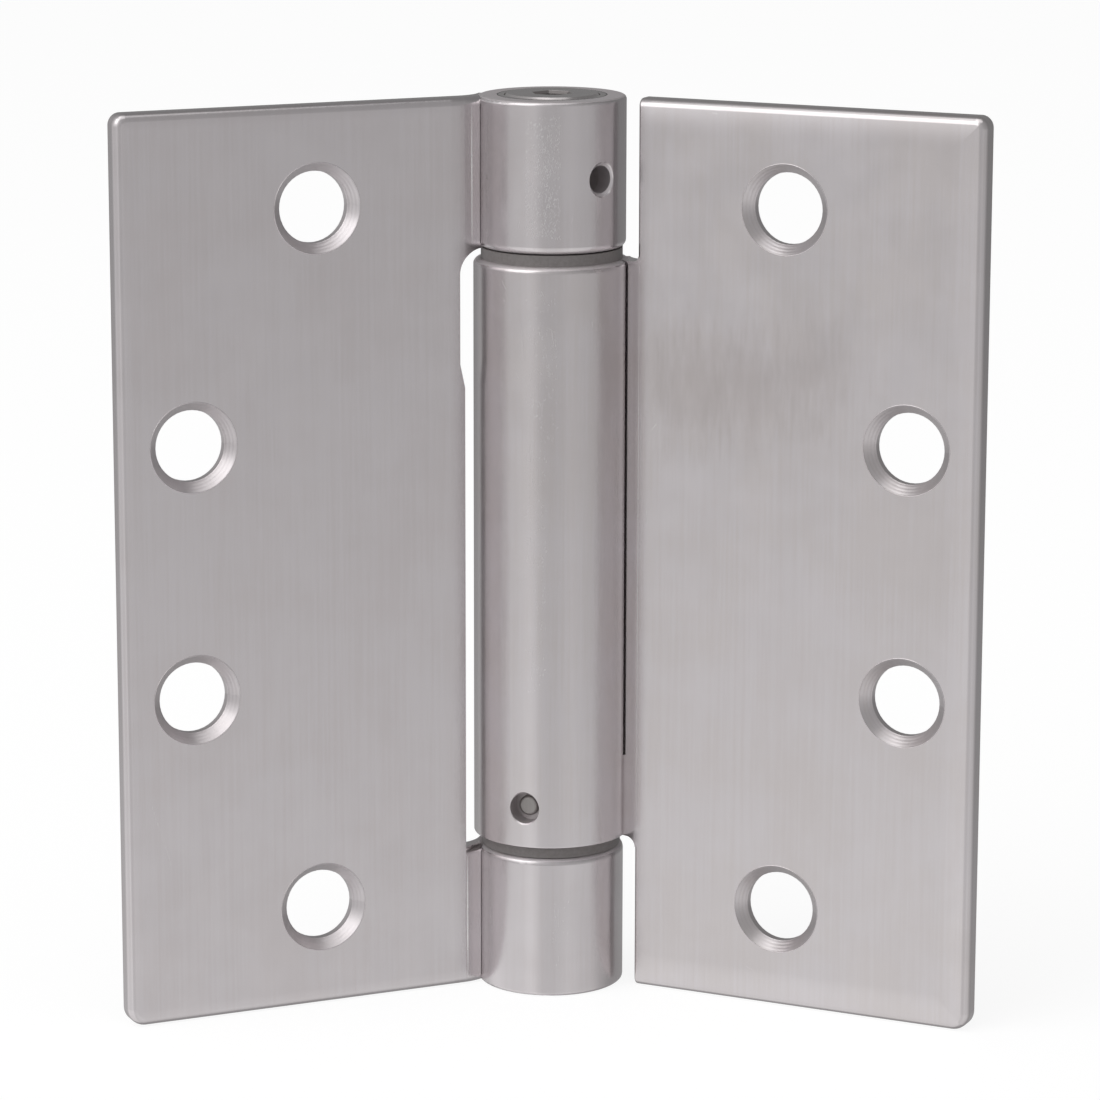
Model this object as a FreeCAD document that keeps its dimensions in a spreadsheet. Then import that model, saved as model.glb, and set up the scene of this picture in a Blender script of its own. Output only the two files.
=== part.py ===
import FreeCAD, Part
import math
import os
import Sketcher

# Spring butt hinge with three knuckles, in millimetres.
# The hinge axis is the Z axis and the lower ends of leaves and knuckles lie on the plane Z = 0.
# The frame leaf runs from the axis towards -X, with its countersunk face towards -Y.
# The pieces that move with the door are drawn with their leaf along +X, opened flat,
# and are then turned about the axis to the opening at which the hinge rests.

DEGREE = math.pi / 180.0
CLOSE = 1e-4

# Driving sizes: the name of a cell and its plain number
SIZES = (
    # Leaves
    ("leaf_height", 114.3),
    ("leaf_width", 57.15),
    ("sheet_thickness", 2.4),
    ("closed_gap", 1.6),
    ("rest_splay_angle", 49.9),
    ("face_edge_round", 1.0),
    ("outer_top_corner", 1.5),
    ("outer_bottom_corner", 2.3),
    ("slot_edge_round", 0.3),
    # Knuckles and barrel
    ("end_knuckle_radius", 9.3),
    ("barrel_step", 0.55),
    ("bottom_knuckle_length", 18.2),
    ("top_knuckle_length", 18.9),
    ("knuckle_gap", 1.5),
    ("top_rim_round", 0.5),
    ("knuckle_edge_round", 0.9),
    ("barrel_top_round", 0.8),
    ("barrel_bottom_round", 0.2),
    ("end_seam_gap", 0.05),
    ("barrel_seam_gap", 0.2),
    ("closed_seam_length", 10.6),
    # Cut-outs of the leaves beside the other leaf's knuckles
    ("slot_clearance", 1.65),
    ("relief_depth", 0.65),
    ("relief_length", 14.5),
    ("relief_corner", 3.2),
    ("relief_slope_length", 3.0),
    ("web_top_corner", 0.6),
    ("web_bottom_corner", 1.3),
    ("web_edge_round", 0.9),
    # Screw holes
    ("screw_hole_diameter", 8.95),
    ("countersink_diameter", 11.3),
    ("countersink_angle", 82.0),
    ("near_hole_to_edge", 26.0),
    ("near_hole_to_end", 12.7),
    ("far_hole_to_edge", 9.525),
    ("far_hole_to_end", 41.275),
    # Small holes in the walls of the top knuckle and the barrel
    ("tension_hole_diameter", 3.5),
    ("tension_hole_rim", 4.5),
    ("tension_hole_drop", 9.8),
    ("tension_hole_angle", 18.0),
    ("anchor_hole_diameter", 3.9),
    ("anchor_hole_rim", 4.3),
    ("anchor_hole_rise", 5.1),
    ("anchor_hole_angle", 5.5),
    ("rim_angle", 90.0),
    # Fits
    ("running_clearance", 0.05),
    ("end_play", 0.1),
    # Tension plug and its ring
    ("retaining_wall", 0.9),
    ("plug_proud", 0.2),
    ("plug_chamfer", 0.35),
    ("retaining_length", 5.6),
    ("upper_journal_diameter", 9.6),
    ("hex_across_flats", 3.97),
    ("hex_depth", 5.0),
    ("hex_mouth", 0.35),
    ("socket_count", 6),
    ("socket_depth", 3.0),
    ("socket_side_gap", 0.25),
    # Washers and bushings
    ("washer_inset", 0.4),
    ("upper_bushing_length", 10.0),
    ("lower_bushing_length", 9.5),
    ("lower_bushing_wall", 1.2),
    # Bottom pivot
    ("lower_journal_diameter", 7.0),
    ("bottom_plug_thickness", 2.6),
    ("bottom_plug_bevel", 0.3),
    # Spring and its anchor
    ("spring_wire", 2.6),
    ("coil_gap", 0.04),
    ("spring_side_gap", 0.25),
    ("leg_side_gap", 0.1),
    ("boss_gap", 0.3),
    ("leg_overhang", 0.6),
    ("anchor_length", 13.5),
    ("anchor_pin_sink", 1.5),
    ("anchor_pin_diameter", 2.6),
    ("anchor_pin_grip", 2.2),
    ("anchor_pin_nose", 0.4),
)

doc = FreeCAD.newDocument("SpringButtHinge")
sheet = doc.addObject("Spreadsheet::Sheet", "Sizes")
for row, (alias, size) in enumerate(SIZES, start=1):
    sheet.set("A%d" % row, alias)
    sheet.set("B%d" % row, str(size))
    sheet.setAlias("B%d" % row, alias)
doc.recompute()

# Places that several pieces share, written as expressions on the sheet
FACE = "(Sizes.closed_gap / 2)"
MIDDLE = f"({FACE} + Sizes.sheet_thickness / 2)"
KNUCKLE = "Sizes.end_knuckle_radius"
BARREL = "(Sizes.end_knuckle_radius + Sizes.barrel_step)"
KNUCKLE_BORE = f"({KNUCKLE} - Sizes.sheet_thickness)"
BARREL_BORE = f"({BARREL} - Sizes.sheet_thickness)"
SLOT_EDGE = f"({BARREL} + Sizes.slot_clearance)"
BOTTOM_TOP = "Sizes.bottom_knuckle_length"
BARREL_FOOT = "(Sizes.bottom_knuckle_length + Sizes.knuckle_gap)"
TOP_FOOT = "(Sizes.leaf_height - Sizes.top_knuckle_length)"
BARREL_HEAD = f"({TOP_FOOT} - Sizes.knuckle_gap)"
WASHER = "(Sizes.knuckle_gap - Sizes.end_play)"
TENSION_HOLE_HEIGHT = "(Sizes.leaf_height - Sizes.tension_hole_drop)"
ANCHOR_HOLE_HEIGHT = f"({BARREL_FOOT} + Sizes.anchor_hole_rise)"
UPPER_JOURNAL = "(Sizes.upper_journal_diameter / 2)"
LOWER_JOURNAL = "(Sizes.lower_journal_diameter / 2)"
LOWER_BUSHING = f"({LOWER_JOURNAL} + Sizes.running_clearance + Sizes.lower_bushing_wall)"
ANCHOR_TOP = f"({BARREL_FOOT} + Sizes.anchor_length)"
UPPER_BUSHING_FOOT = f"({BARREL_HEAD} - Sizes.upper_bushing_length)"
COIL_RADIUS = f"({BARREL_BORE} - Sizes.spring_side_gap - Sizes.spring_wire / 2)"
BOSS_RADIUS = f"({COIL_RADIUS} - Sizes.spring_wire / 2 - Sizes.boss_gap)"
BOSS_HEIGHT = "(Sizes.spring_wire + Sizes.leg_overhang)"
LEG_SLOT = "(Sizes.spring_wire + 2 * Sizes.leg_side_gap)"
LEG_RADIUS = "(Sizes.spring_wire / 2 + Sizes.coil_gap / 4)"
SPRING_SPACE = f"({UPPER_BUSHING_FOOT} - Sizes.end_play - {ANCHOR_TOP} - 2 * {LEG_RADIUS})"
COIL_TURNS = f"floor({SPRING_SPACE} / (Sizes.spring_wire + Sizes.coil_gap))"


def number(expression):
    """Value of an expression on the sheet, as a plain number."""
    result = sheet.evalExpression(expression)
    return float(getattr(result, "Value", result))


def plane(body, role):
    """Origin plane of a body, found by its role."""
    return next(item for item in body.Origin.OriginFeatures if item.Role == role)


def new_body(label, with_door=False):
    """Empty body; one that moves with the door is turned to the rest opening."""
    body = doc.addObject("PartDesign::Body", label)
    body.Label = label
    if with_door:
        turn_with_door(body)
    return body


def turn_with_door(item):
    """Turns an object about the hinge axis to the opening at which the hinge rests."""
    item.Placement = FreeCAD.Placement(FreeCAD.Vector(), FreeCAD.Rotation(FreeCAD.Vector(0, 0, -1), 1))
    item.setExpression("Placement.Rotation.Angle", "Sizes.rest_splay_angle")


def sketch_on(body, role, name, shift="0", turn="0"):
    """Sketch on an origin plane, shifted along its normal and turned about the sketch's own vertical."""
    sketch = body.newObject("Sketcher::SketchObject", name)
    sketch.AttachmentSupport = [(plane(body, role), "")]
    sketch.MapMode = "FlatFace"
    if turn != "0":
        sketch.AttachmentOffset = FreeCAD.Placement(
            FreeCAD.Vector(), FreeCAD.Rotation(FreeCAD.Vector(0, 1, 0), 1))
        sketch.setExpression("AttachmentOffset.Rotation.Angle", turn)
        sketch.setExpression("AttachmentOffset.Base.x", f"({shift}) * sin({turn})")
        sketch.setExpression("AttachmentOffset.Base.z", f"({shift}) * cos({turn})")
    elif shift != "0":
        sketch.setExpression("AttachmentOffset.Base.z", shift)
    return sketch


def drive(sketch, kind, geometry, point, expression):
    """Adds one dimension to a sketch and binds it to an expression."""
    at = (geometry,) if point is None else (geometry, point)
    index = sketch.addConstraint(Sketcher.Constraint(kind, *at, number(expression)))
    name = "size%d" % index
    sketch.renameConstraint(index, name)
    sketch.setExpression("Constraints." + name, expression)


def circle(sketch, across, up, radius):
    """Circle with a driven centre and radius."""
    centre = FreeCAD.Vector(number(across), number(up), 0)
    ring = sketch.addGeometry(Part.Circle(centre, FreeCAD.Vector(0, 0, 1), number(radius)), False)
    drive(sketch, "Radius", ring, None, radius)
    drive(sketch, "DistanceX", ring, 3, across)
    drive(sketch, "DistanceY", ring, 3, up)


def polygon(sketch, corners):
    """Closed outline of straight lines through driven corners."""
    points = [FreeCAD.Vector(number(across), number(up), 0) for across, up in corners]
    lines = [sketch.addGeometry(Part.LineSegment(points[i - 1], points[i]), False) for i in range(len(points))]
    for i, line in enumerate(lines):
        following = lines[(i + 1) % len(lines)]
        sketch.addConstraint(Sketcher.Constraint("Coincident", line, 2, following, 1))
        drive(sketch, "DistanceX", line, 2, corners[i][0])
        drive(sketch, "DistanceY", line, 2, corners[i][1])


def outline(sketch, edges, rounds=None):
    """Closed outline of level and upright lines, with the named corners rounded.

    Each edge is ("level", height) or ("upright", place); corner i joins edge i to the next one.
    """
    rounds = rounds or {}
    count = len(edges)
    places = [number(place) for _, place in edges]
    corners = []
    for i in range(count):
        after = (i + 1) % count
        level_first = edges[i][0] == "level"
        across, up = (places[after], places[i]) if level_first else (places[i], places[after])
        corners.append(FreeCAD.Vector(across, up, 0))
    radii = [number(rounds[i]) if i in rounds else 0.0 for i in range(count)]
    lines, ways = [], []
    for i in range(count):
        way = (corners[i] - corners[i - 1]).normalize()
        start = corners[i - 1] + way * radii[i - 1]
        line = sketch.addGeometry(Part.LineSegment(start, corners[i] - way * radii[i]), False)
        level = edges[i][0] == "level"
        sketch.addConstraint(Sketcher.Constraint("Horizontal" if level else "Vertical", line))
        drive(sketch, "DistanceY" if level else "DistanceX", line, 1, edges[i][1])
        lines.append(line)
        ways.append(way)
    for i in range(count):
        after = (i + 1) % count
        if i not in rounds:
            sketch.addConstraint(Sketcher.Constraint("Coincident", lines[i], 2, lines[after], 1))
            continue
        start = corners[i] - ways[i] * radii[i]
        end = corners[i] + ways[after] * radii[i]
        centre = start + ways[after] * radii[i]
        outward = (corners[i] - centre).normalize()
        arc = sketch.addGeometry(Part.Arc(start, centre + outward * radii[i], end), False)
        left_turn = ways[i].cross(ways[after]).z > 0
        first, last = (1, 2) if left_turn else (2, 1)
        sketch.addConstraint(Sketcher.Constraint("Tangent", lines[i], 2, arc, first))
        sketch.addConstraint(Sketcher.Constraint("Tangent", lines[after], 1, arc, last))
        drive(sketch, "Radius", arc, None, rounds[i])


def band(sketch, across, up, inner, outer, first, last):
    """Sector of a ring about a driven centre, between two angles in degrees."""
    centre = FreeCAD.Vector(number(across), number(up), 0)
    begin, finish = number(first) * DEGREE, number(last) * DEGREE
    arcs = []
    for radius in (inner, outer):
        full = Part.Circle(centre, FreeCAD.Vector(0, 0, 1), number(radius))
        arc = sketch.addGeometry(Part.ArcOfCircle(full, begin, finish), False)
        drive(sketch, "Radius", arc, None, radius)
        drive(sketch, "DistanceX", arc, 3, across)
        drive(sketch, "DistanceY", arc, 3, up)
        for point, angle in ((1, first), (2, last)):
            drive(sketch, "DistanceX", arc, point, f"({across}) + ({radius}) * cos({angle})")
        arcs.append((arc, full))
    for point, angle in ((1, begin), (2, finish)):
        ends = [full.value(angle) for _, full in arcs]
        line = sketch.addGeometry(Part.LineSegment(ends[0], ends[1]), False)
        sketch.addConstraint(Sketcher.Constraint("Coincident", line, 1, arcs[0][0], point))
        sketch.addConstraint(Sketcher.Constraint("Coincident", line, 2, arcs[1][0], point))


def pad(body, sketch, length, backwards=False):
    """Pads a sketch by a driven length."""
    feature = body.newObject("PartDesign::Pad", sketch.Name + "Pad")
    feature.Profile = sketch
    feature.Reversed = backwards
    feature.setExpression("Length", length)
    doc.recompute()
    return feature


def pocket(body, sketch, length=None, backwards=False):
    """Cuts a sketch out by a driven length, or through all on both sides."""
    before = body.Shape.Volume
    feature = body.newObject("PartDesign::Pocket", sketch.Name + "Pocket")
    feature.Profile = sketch
    feature.Reversed = backwards
    if length is None:
        feature.Type = "ThroughAll"
        feature.Midplane = True
    else:
        feature.setExpression("Length", length)
    doc.recompute()
    if body.Shape.Volume > before - CLOSE:
        raise RuntimeError(feature.Name + " cuts nothing")
    return feature


def revolve(body, sketch):
    """Turns a sketch on the XZ plane about the hinge axis."""
    feature = body.newObject("PartDesign::Revolution", sketch.Name + "Turned")
    feature.Profile = sketch
    feature.ReferenceAxis = (sketch, ["V_Axis"])
    feature.Angle = 360
    doc.recompute()
    return feature


def turned(label, steps, with_door=False):
    """Body turned from a profile of radii and heights."""
    body = new_body(label, with_door)
    sketch = sketch_on(body, "XZ_Plane", label + "_profile")
    polygon(sketch, steps)
    revolve(body, sketch)
    return body


def edge_names(feature, wanted):
    """Names of the edges of a feature whose every sampled point passes a test."""
    return ["Edge%d" % index for index, edge in enumerate(feature.Shape.Edges, start=1)
            if all(wanted(point) for point in edge.discretize(5))]


def round_edges(body, feature, radius, wanted):
    """Rounds the edges of a feature that pass a test."""
    names = edge_names(feature, wanted)
    fillet = body.newObject("PartDesign::Fillet", feature.Name + "Rounded")
    fillet.Base = (feature, names)
    fillet.setExpression("Radius", radius)
    doc.recompute()
    return fillet


def bevel_edges(body, feature, size, wanted):
    """Bevels the edges of a feature that pass a test."""
    names = edge_names(feature, wanted)
    bevel = body.newObject("PartDesign::Chamfer", feature.Name + "Bevelled")
    bevel.Base = (feature, names)
    bevel.setExpression("Size", size)
    doc.recompute()
    return bevel


def drill(body, sketch, diameter, rim, angle, depth=None):
    """Countersunk holes at the circles of a sketch, through all or to a driven depth."""
    doc.recompute()
    before = body.Shape.Volume
    hole = body.newObject("PartDesign::Hole", sketch.Name + "Drilled")
    hole.Profile = sketch
    hole.HoleCutType = "Countersink"
    hole.DrillPoint = "Flat"
    hole.DepthType = "ThroughAll" if depth is None else "Dimension"
    hole.setExpression("Diameter", diameter)
    hole.setExpression("HoleCutDiameter", rim)
    hole.setExpression("HoleCutCountersinkAngle", angle)
    if depth is not None:
        hole.setExpression("Depth", depth)
    doc.recompute()
    if body.Shape.Volume > before - CLOSE:
        raise RuntimeError(hole.Name + " cuts nothing")
    return hole


# Leaves: a flat plate, a reverse bend beside the barrel and rolled knuckles

def bend_radius(knuckle):
    """Middle radius of the bend that leads the sheet round the back of a knuckle."""
    middle_roll = f"({knuckle} - Sizes.sheet_thickness / 2)"
    reach = f"(pow({SLOT_EDGE}; 2) - pow({middle_roll}; 2) + pow({MIDDLE}; 2))"
    return f"({reach} / (2 * ({middle_roll} - {MIDDLE})))"


def bend_band(sketch, side, knuckle, inner, outer):
    """Sector about the bend's centre, from the flat plate to the point where the roll begins."""
    up = f"({MIDDLE} + {bend_radius(knuckle)})"
    lean = f"atan({up} / {SLOT_EDGE})"
    first, last = (f"180 deg + {lean}", "270 deg") if side > 0 else ("270 deg", f"360 deg - {lean}")
    band(sketch, f"{side} * {SLOT_EDGE}", up, inner, outer, first, last)


def leaf_plate(body, side):
    """Flat plate of a leaf, from the slot edge to the outer edge."""
    sketch = sketch_on(body, "XZ_Plane", body.Name + "_plate", shift=f"-{FACE}")
    outline(sketch, [("level", "0"), ("upright", f"{side} * Sizes.leaf_width"),
                     ("level", "Sizes.leaf_height"), ("upright", f"{side} * {SLOT_EDGE}")],
            {0: "Sizes.outer_bottom_corner", 1: "Sizes.outer_top_corner"})
    return pad(body, sketch, "Sizes.sheet_thickness", backwards=True)


def leaf_bend(body, side, knuckle, foot, height):
    """Reverse bend of a leaf between two heights."""
    sketch = sketch_on(body, "XY_Plane", body.Name + "_bend", shift=foot)
    half = "Sizes.sheet_thickness / 2"
    bend_band(sketch, side, knuckle, f"({bend_radius(knuckle)} - {half})", f"({bend_radius(knuckle)} + {half})")
    return pad(body, sketch, height)


def rolled_wall(sketch, radius, foot, head, foot_round, head_round):
    """Section of a rolled knuckle's wall, with rounded outer rims."""
    outline(sketch, [("level", foot), ("upright", radius), ("level", head),
                     ("upright", f"({radius} - Sizes.sheet_thickness)")], {0: foot_round, 1: head_round})


def open_seam(body, side, knuckle, gap, foot, height):
    """Slit between the end of the roll and the bend that it closes on."""
    sketch = sketch_on(body, "XY_Plane", body.Name + "_seam", shift=foot)
    front = f"({bend_radius(knuckle)} + Sizes.sheet_thickness / 2)"
    bend_band(sketch, side, knuckle, front, f"({front} + {gap})")
    return pocket(body, sketch, height, backwards=True)


def screw_holes(body, side):
    """Four countersunk screw holes: two near the barrel and two near the outer edge."""
    sketch = sketch_on(body, "XZ_Plane", body.Name + "_screw_holes", shift=f"-{FACE}")
    for pair in ("near_hole", "far_hole"):
        across = f"{side} * (Sizes.leaf_width - Sizes.{pair}_to_edge)"
        for up in (f"Sizes.{pair}_to_end", f"Sizes.leaf_height - Sizes.{pair}_to_end"):
            circle(sketch, across, up, "Sizes.screw_hole_diameter / 2")
    return drill(body, sketch, "Sizes.screw_hole_diameter", "Sizes.countersink_diameter", "Sizes.countersink_angle")


def wall_hole(body, radius, turn, height, diameter, rim):
    """Radial hole through one wall of a knuckle, with a broken rim."""
    sketch = sketch_on(body, "XZ_Plane", body.Name + "_wall_hole", shift=radius, turn=turn)
    circle(sketch, "0", height, f"{diameter} / 2")
    return drill(body, sketch, diameter, rim, "Sizes.rim_angle", "1.5 * Sizes.sheet_thickness")


def make_frame_leaf():
    """Frame leaf with the top and bottom knuckles."""
    side = -1
    body = new_body("frame_leaf")
    leaf_plate(body, side)
    bend = leaf_bend(body, side, KNUCKLE, "0", "Sizes.leaf_height")
    face, height, edge = number(FACE), number("Sizes.leaf_height"), number("Sizes.leaf_width")
    bend_centre = FreeCAD.Vector(side * number(SLOT_EDGE), number(f"({MIDDLE} + {bend_radius(KNUCKLE)})"), 0)
    bend_front = number(f"({bend_radius(KNUCKLE)} + Sizes.sheet_thickness / 2)")

    def on_front_rim(point):
        """Whether a point lies on the front edge of the top, the bottom or the outer side."""
        flat = abs(point.y - face) < CLOSE and point.x <= side * number(SLOT_EDGE) + CLOSE
        level = FreeCAD.Vector(point.x, point.y, 0).distanceToPoint(bend_centre)
        curved = abs(level - bend_front) < CLOSE and (abs(point.z) < CLOSE or abs(point.z - height) < CLOSE)
        inner = abs(point.x - side * number(SLOT_EDGE)) < CLOSE and CLOSE < point.z < height - CLOSE
        return (flat or curved) and not inner and abs(point.x) <= edge + CLOSE

    def on_web_edge(point):
        """Whether a point lies on the front edge of the web over the bottom knuckle."""
        level = FreeCAD.Vector(point.x, point.y, 0).distanceToPoint(bend_centre)
        return abs(level - bend_front) < CLOSE and abs(point.z - number(BOTTOM_TOP)) < CLOSE

    round_edges(body, bend, "Sizes.face_edge_round", on_front_rim)
    slot_edge, relief_edge = f"{side} * {SLOT_EDGE}", f"{side} * ({SLOT_EDGE} + Sizes.relief_depth)"
    relief_foot = f"({TOP_FOOT} - Sizes.relief_length)"
    slot = sketch_on(body, "XZ_Plane", "frame_leaf_slot")
    polygon(slot, [("0", BOTTOM_TOP), (slot_edge, BOTTOM_TOP),
                   (slot_edge, f"{relief_foot} - Sizes.relief_slope_length"),
                   (relief_edge, relief_foot), ("0", relief_foot)])
    pocket(body, slot)
    relief = sketch_on(body, "XZ_Plane", "frame_leaf_relief")
    outline(relief, [("level", relief_foot), ("upright", relief_edge), ("level", TOP_FOOT), ("upright", "0")],
            {1: "Sizes.relief_corner"})
    cut = pocket(body, relief)
    round_edges(body, cut, "Sizes.web_edge_round", on_web_edge)
    walls = sketch_on(body, "XZ_Plane", "frame_leaf_knuckles")
    rolled_wall(walls, KNUCKLE, "0", BOTTOM_TOP, "Sizes.top_rim_round", "Sizes.knuckle_edge_round")
    rolled_wall(walls, KNUCKLE, TOP_FOOT, "Sizes.leaf_height", "Sizes.knuckle_edge_round", "Sizes.top_rim_round")
    revolve(body, walls)
    open_seam(body, side, KNUCKLE, "Sizes.end_seam_gap", "0", "Sizes.leaf_height")
    screw_holes(body, side)
    wall_hole(body, KNUCKLE, "Sizes.tension_hole_angle", TENSION_HOLE_HEIGHT,
              "Sizes.tension_hole_diameter", "Sizes.tension_hole_rim")
    return body


def make_door_leaf():
    """Door leaf with the long middle barrel."""
    side = 1
    body = new_body("door_leaf", with_door=True)
    plate = leaf_plate(body, side)
    face, inner, height = number(FACE), number(SLOT_EDGE), number("Sizes.leaf_height")

    def on_front_rim(point):
        """Whether a point lies on the front edge of the top, the bottom or the outer side."""
        level_end = abs(point.z) < CLOSE or abs(point.z - height) < CLOSE
        return abs(point.y - face) < CLOSE and (level_end or point.x > inner + CLOSE)

    def on_slot_rim(point):
        """Whether a point lies on the front edge beside the slots."""
        return abs(point.y - face) < CLOSE and abs(point.x - inner) < CLOSE

    rim = round_edges(body, plate, "Sizes.face_edge_round", on_front_rim)
    round_edges(body, rim, "Sizes.slot_edge_round", on_slot_rim)
    web_foot = f"({BARREL_FOOT} - Sizes.web_bottom_corner)"
    web_height = f"({BARREL_HEAD} + Sizes.web_top_corner - {web_foot})"
    leaf_bend(body, side, BARREL, web_foot, web_height)
    fill = sketch_on(body, "XZ_Plane", "door_leaf_web", shift=f"-{FACE}")
    outline(fill, [("level", web_foot), ("upright", f"({SLOT_EDGE} + 2 * Sizes.slot_edge_round)"),
                   ("level", f"({BARREL_HEAD} + Sizes.web_top_corner)"), ("upright", SLOT_EDGE)])
    pad(body, fill, "Sizes.sheet_thickness", backwards=True)
    for name, mouth, end, corner in (
            ("top_slot", "Sizes.leaf_height", BARREL_HEAD, "Sizes.web_top_corner"),
            ("bottom_slot", "0", BARREL_FOOT, "Sizes.web_bottom_corner")):
        slot = sketch_on(body, "XZ_Plane", "door_leaf_" + name)
        outline(slot, [("level", mouth), ("upright", SLOT_EDGE), ("level", end), ("upright", "0")], {1: corner})
        pocket(body, slot)
    wall = sketch_on(body, "XZ_Plane", "door_leaf_barrel")
    rolled_wall(wall, BARREL, BARREL_FOOT, BARREL_HEAD, "Sizes.barrel_bottom_round", "Sizes.barrel_top_round")
    revolve(body, wall)
    seam_foot = f"({BARREL_FOOT} + Sizes.closed_seam_length)"
    open_seam(body, side, BARREL, "Sizes.barrel_seam_gap", seam_foot, "Sizes.leaf_height")
    screw_holes(body, side)
    wall_hole(body, BARREL, "Sizes.anchor_hole_angle", ANCHOR_HOLE_HEIGHT,
              "Sizes.anchor_hole_diameter", "Sizes.anchor_hole_rim")
    return body


# Top end: the retaining bushing and the tension plug

RING_BORE = f"({KNUCKLE_BORE} - Sizes.retaining_wall)"
PLUG_HEAD = f"({RING_BORE} - Sizes.running_clearance)"
PLUG_SIDE = f"({KNUCKLE_BORE} - Sizes.running_clearance)"
PLUG_SHOULDER = "(Sizes.leaf_height - Sizes.retaining_length - Sizes.end_play)"
PLUG_FOOT = f"({TOP_FOOT} + Sizes.end_play)"
PLUG_TOP = "(Sizes.leaf_height + Sizes.plug_proud)"
BOSS_FOOT = f"({UPPER_BUSHING_FOOT} - {BOSS_HEIGHT})"


def make_retaining_bushing():
    """Ring pressed in the top knuckle, which keeps the tension plug in."""
    foot = "(Sizes.leaf_height - Sizes.retaining_length)"
    return turned("retaining_bushing", [
        (RING_BORE, foot), (KNUCKLE_BORE, foot),
        (KNUCKLE_BORE, "Sizes.leaf_height"), (RING_BORE, "Sizes.leaf_height")])


def make_tension_plug():
    """Plug that winds the spring: hexagon socket, ring of radial sockets, journal and slotted boss."""
    body = turned("tension_plug", [
        ("0", BOSS_FOOT), (BOSS_RADIUS, BOSS_FOOT), (BOSS_RADIUS, UPPER_BUSHING_FOOT),
        (UPPER_JOURNAL, UPPER_BUSHING_FOOT), (UPPER_JOURNAL, PLUG_FOOT), (PLUG_SIDE, PLUG_FOOT),
        (PLUG_SIDE, PLUG_SHOULDER), (PLUG_HEAD, PLUG_SHOULDER),
        (PLUG_HEAD, f"{PLUG_TOP} - Sizes.plug_chamfer"), (f"{PLUG_HEAD} - Sizes.plug_chamfer", PLUG_TOP),
        ("0", PLUG_TOP)])
    slot = sketch_on(body, "XY_Plane", "tension_plug_slot", shift=BOSS_FOOT)
    leg_line(slot, "0 - Sizes.rest_splay_angle", f"{BOSS_RADIUS} + 1")
    pocket(body, slot, f"{BOSS_HEIGHT}", backwards=True)
    hexagon = sketch_on(body, "XY_Plane", "tension_plug_hexagon", shift=PLUG_TOP)
    corner = "(Sizes.hex_across_flats / 2 / cos(30))"
    polygon(hexagon, [(f"{corner} * cos({angle})", f"{corner} * sin({angle})") for angle in range(15, 375, 60)])
    socket = pocket(body, hexagon, "Sizes.hex_depth")
    top, reach = number(PLUG_TOP), number("Sizes.hex_across_flats")
    bevel_edges(body, socket, "Sizes.hex_mouth",
                lambda point: abs(point.z - top) < CLOSE and math.hypot(point.x, point.y) < reach)
    sockets = sketch_on(body, "XZ_Plane", "tension_plug_sockets", shift=PLUG_SIDE, turn="Sizes.tension_hole_angle")
    circle(sockets, "0", TENSION_HOLE_HEIGHT, "Sizes.tension_hole_diameter / 2 + Sizes.socket_side_gap")
    first = pocket(body, sockets, "Sizes.socket_depth")
    ring = body.newObject("PartDesign::PolarPattern", "tension_plug_socket_ring")
    ring.Originals = [first]
    ring.Axis = (plane(body, "Z_Axis"), [""])
    ring.Angle = 360
    ring.Occurrences = int(number("Sizes.socket_count"))
    body.Tip = ring
    doc.recompute()
    return body


def leg_line(sketch, angle, reach):
    """Slot across the axis for a leg of the spring, at an angle in degrees."""
    half = f"({LEG_SLOT} / 2)"
    polygon(sketch, [
        (f"({along} * ({reach})) * cos({angle}) - ({aside} * {half}) * sin({angle})",
         f"({along} * ({reach})) * sin({angle}) + ({aside} * {half}) * cos({angle})")
        for along, aside in ((1, 1), (-1, 1), (-1, -1), (1, -1))])


# Washers and bushings between the turning pieces

def make_washer(label, journal, foot, with_door):
    """Thrust washer in the gap between two knuckles."""
    inner = f"({journal} + Sizes.end_play)"
    outer = f"({KNUCKLE} - Sizes.washer_inset)"
    head = f"({foot} + {WASHER})"
    return turned(label, [(inner, foot), (outer, foot), (outer, head), (inner, head)], with_door)


def make_bushing(label, inner, outer, foot, length):
    """Plain bushing that moves with the door."""
    head = f"({foot} + {length})"
    return turned(label, [(inner, foot), (outer, foot), (outer, head), (inner, head)], with_door=True)


# Bottom end: the pivot and the plug under it

def make_pivot_pin():
    """Stepped pivot that fills the bottom knuckle and carries the door leaf."""
    tip = f"({BARREL_FOOT} + Sizes.lower_bushing_length)"
    foot = "Sizes.bottom_plug_thickness"
    return turned("pivot_pin", [
        ("0", foot), (KNUCKLE_BORE, foot), (KNUCKLE_BORE, BOTTOM_TOP), (LOWER_JOURNAL, BOTTOM_TOP),
        (LOWER_JOURNAL, f"{tip} - Sizes.plug_chamfer"), (f"{LOWER_JOURNAL} - Sizes.plug_chamfer", tip), ("0", tip)])


def make_bottom_plug():
    """Disc that closes the bottom knuckle, with a bevelled rim."""
    head = "Sizes.bottom_plug_thickness"
    return turned("bottom_plug", [
        ("0", "0"), (f"{KNUCKLE_BORE} - Sizes.bottom_plug_bevel", "0"), (KNUCKLE_BORE, "Sizes.bottom_plug_bevel"),
        (KNUCKLE_BORE, head), ("0", head)])


# Spring, its anchor in the foot of the barrel and the pin that holds the anchor

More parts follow.
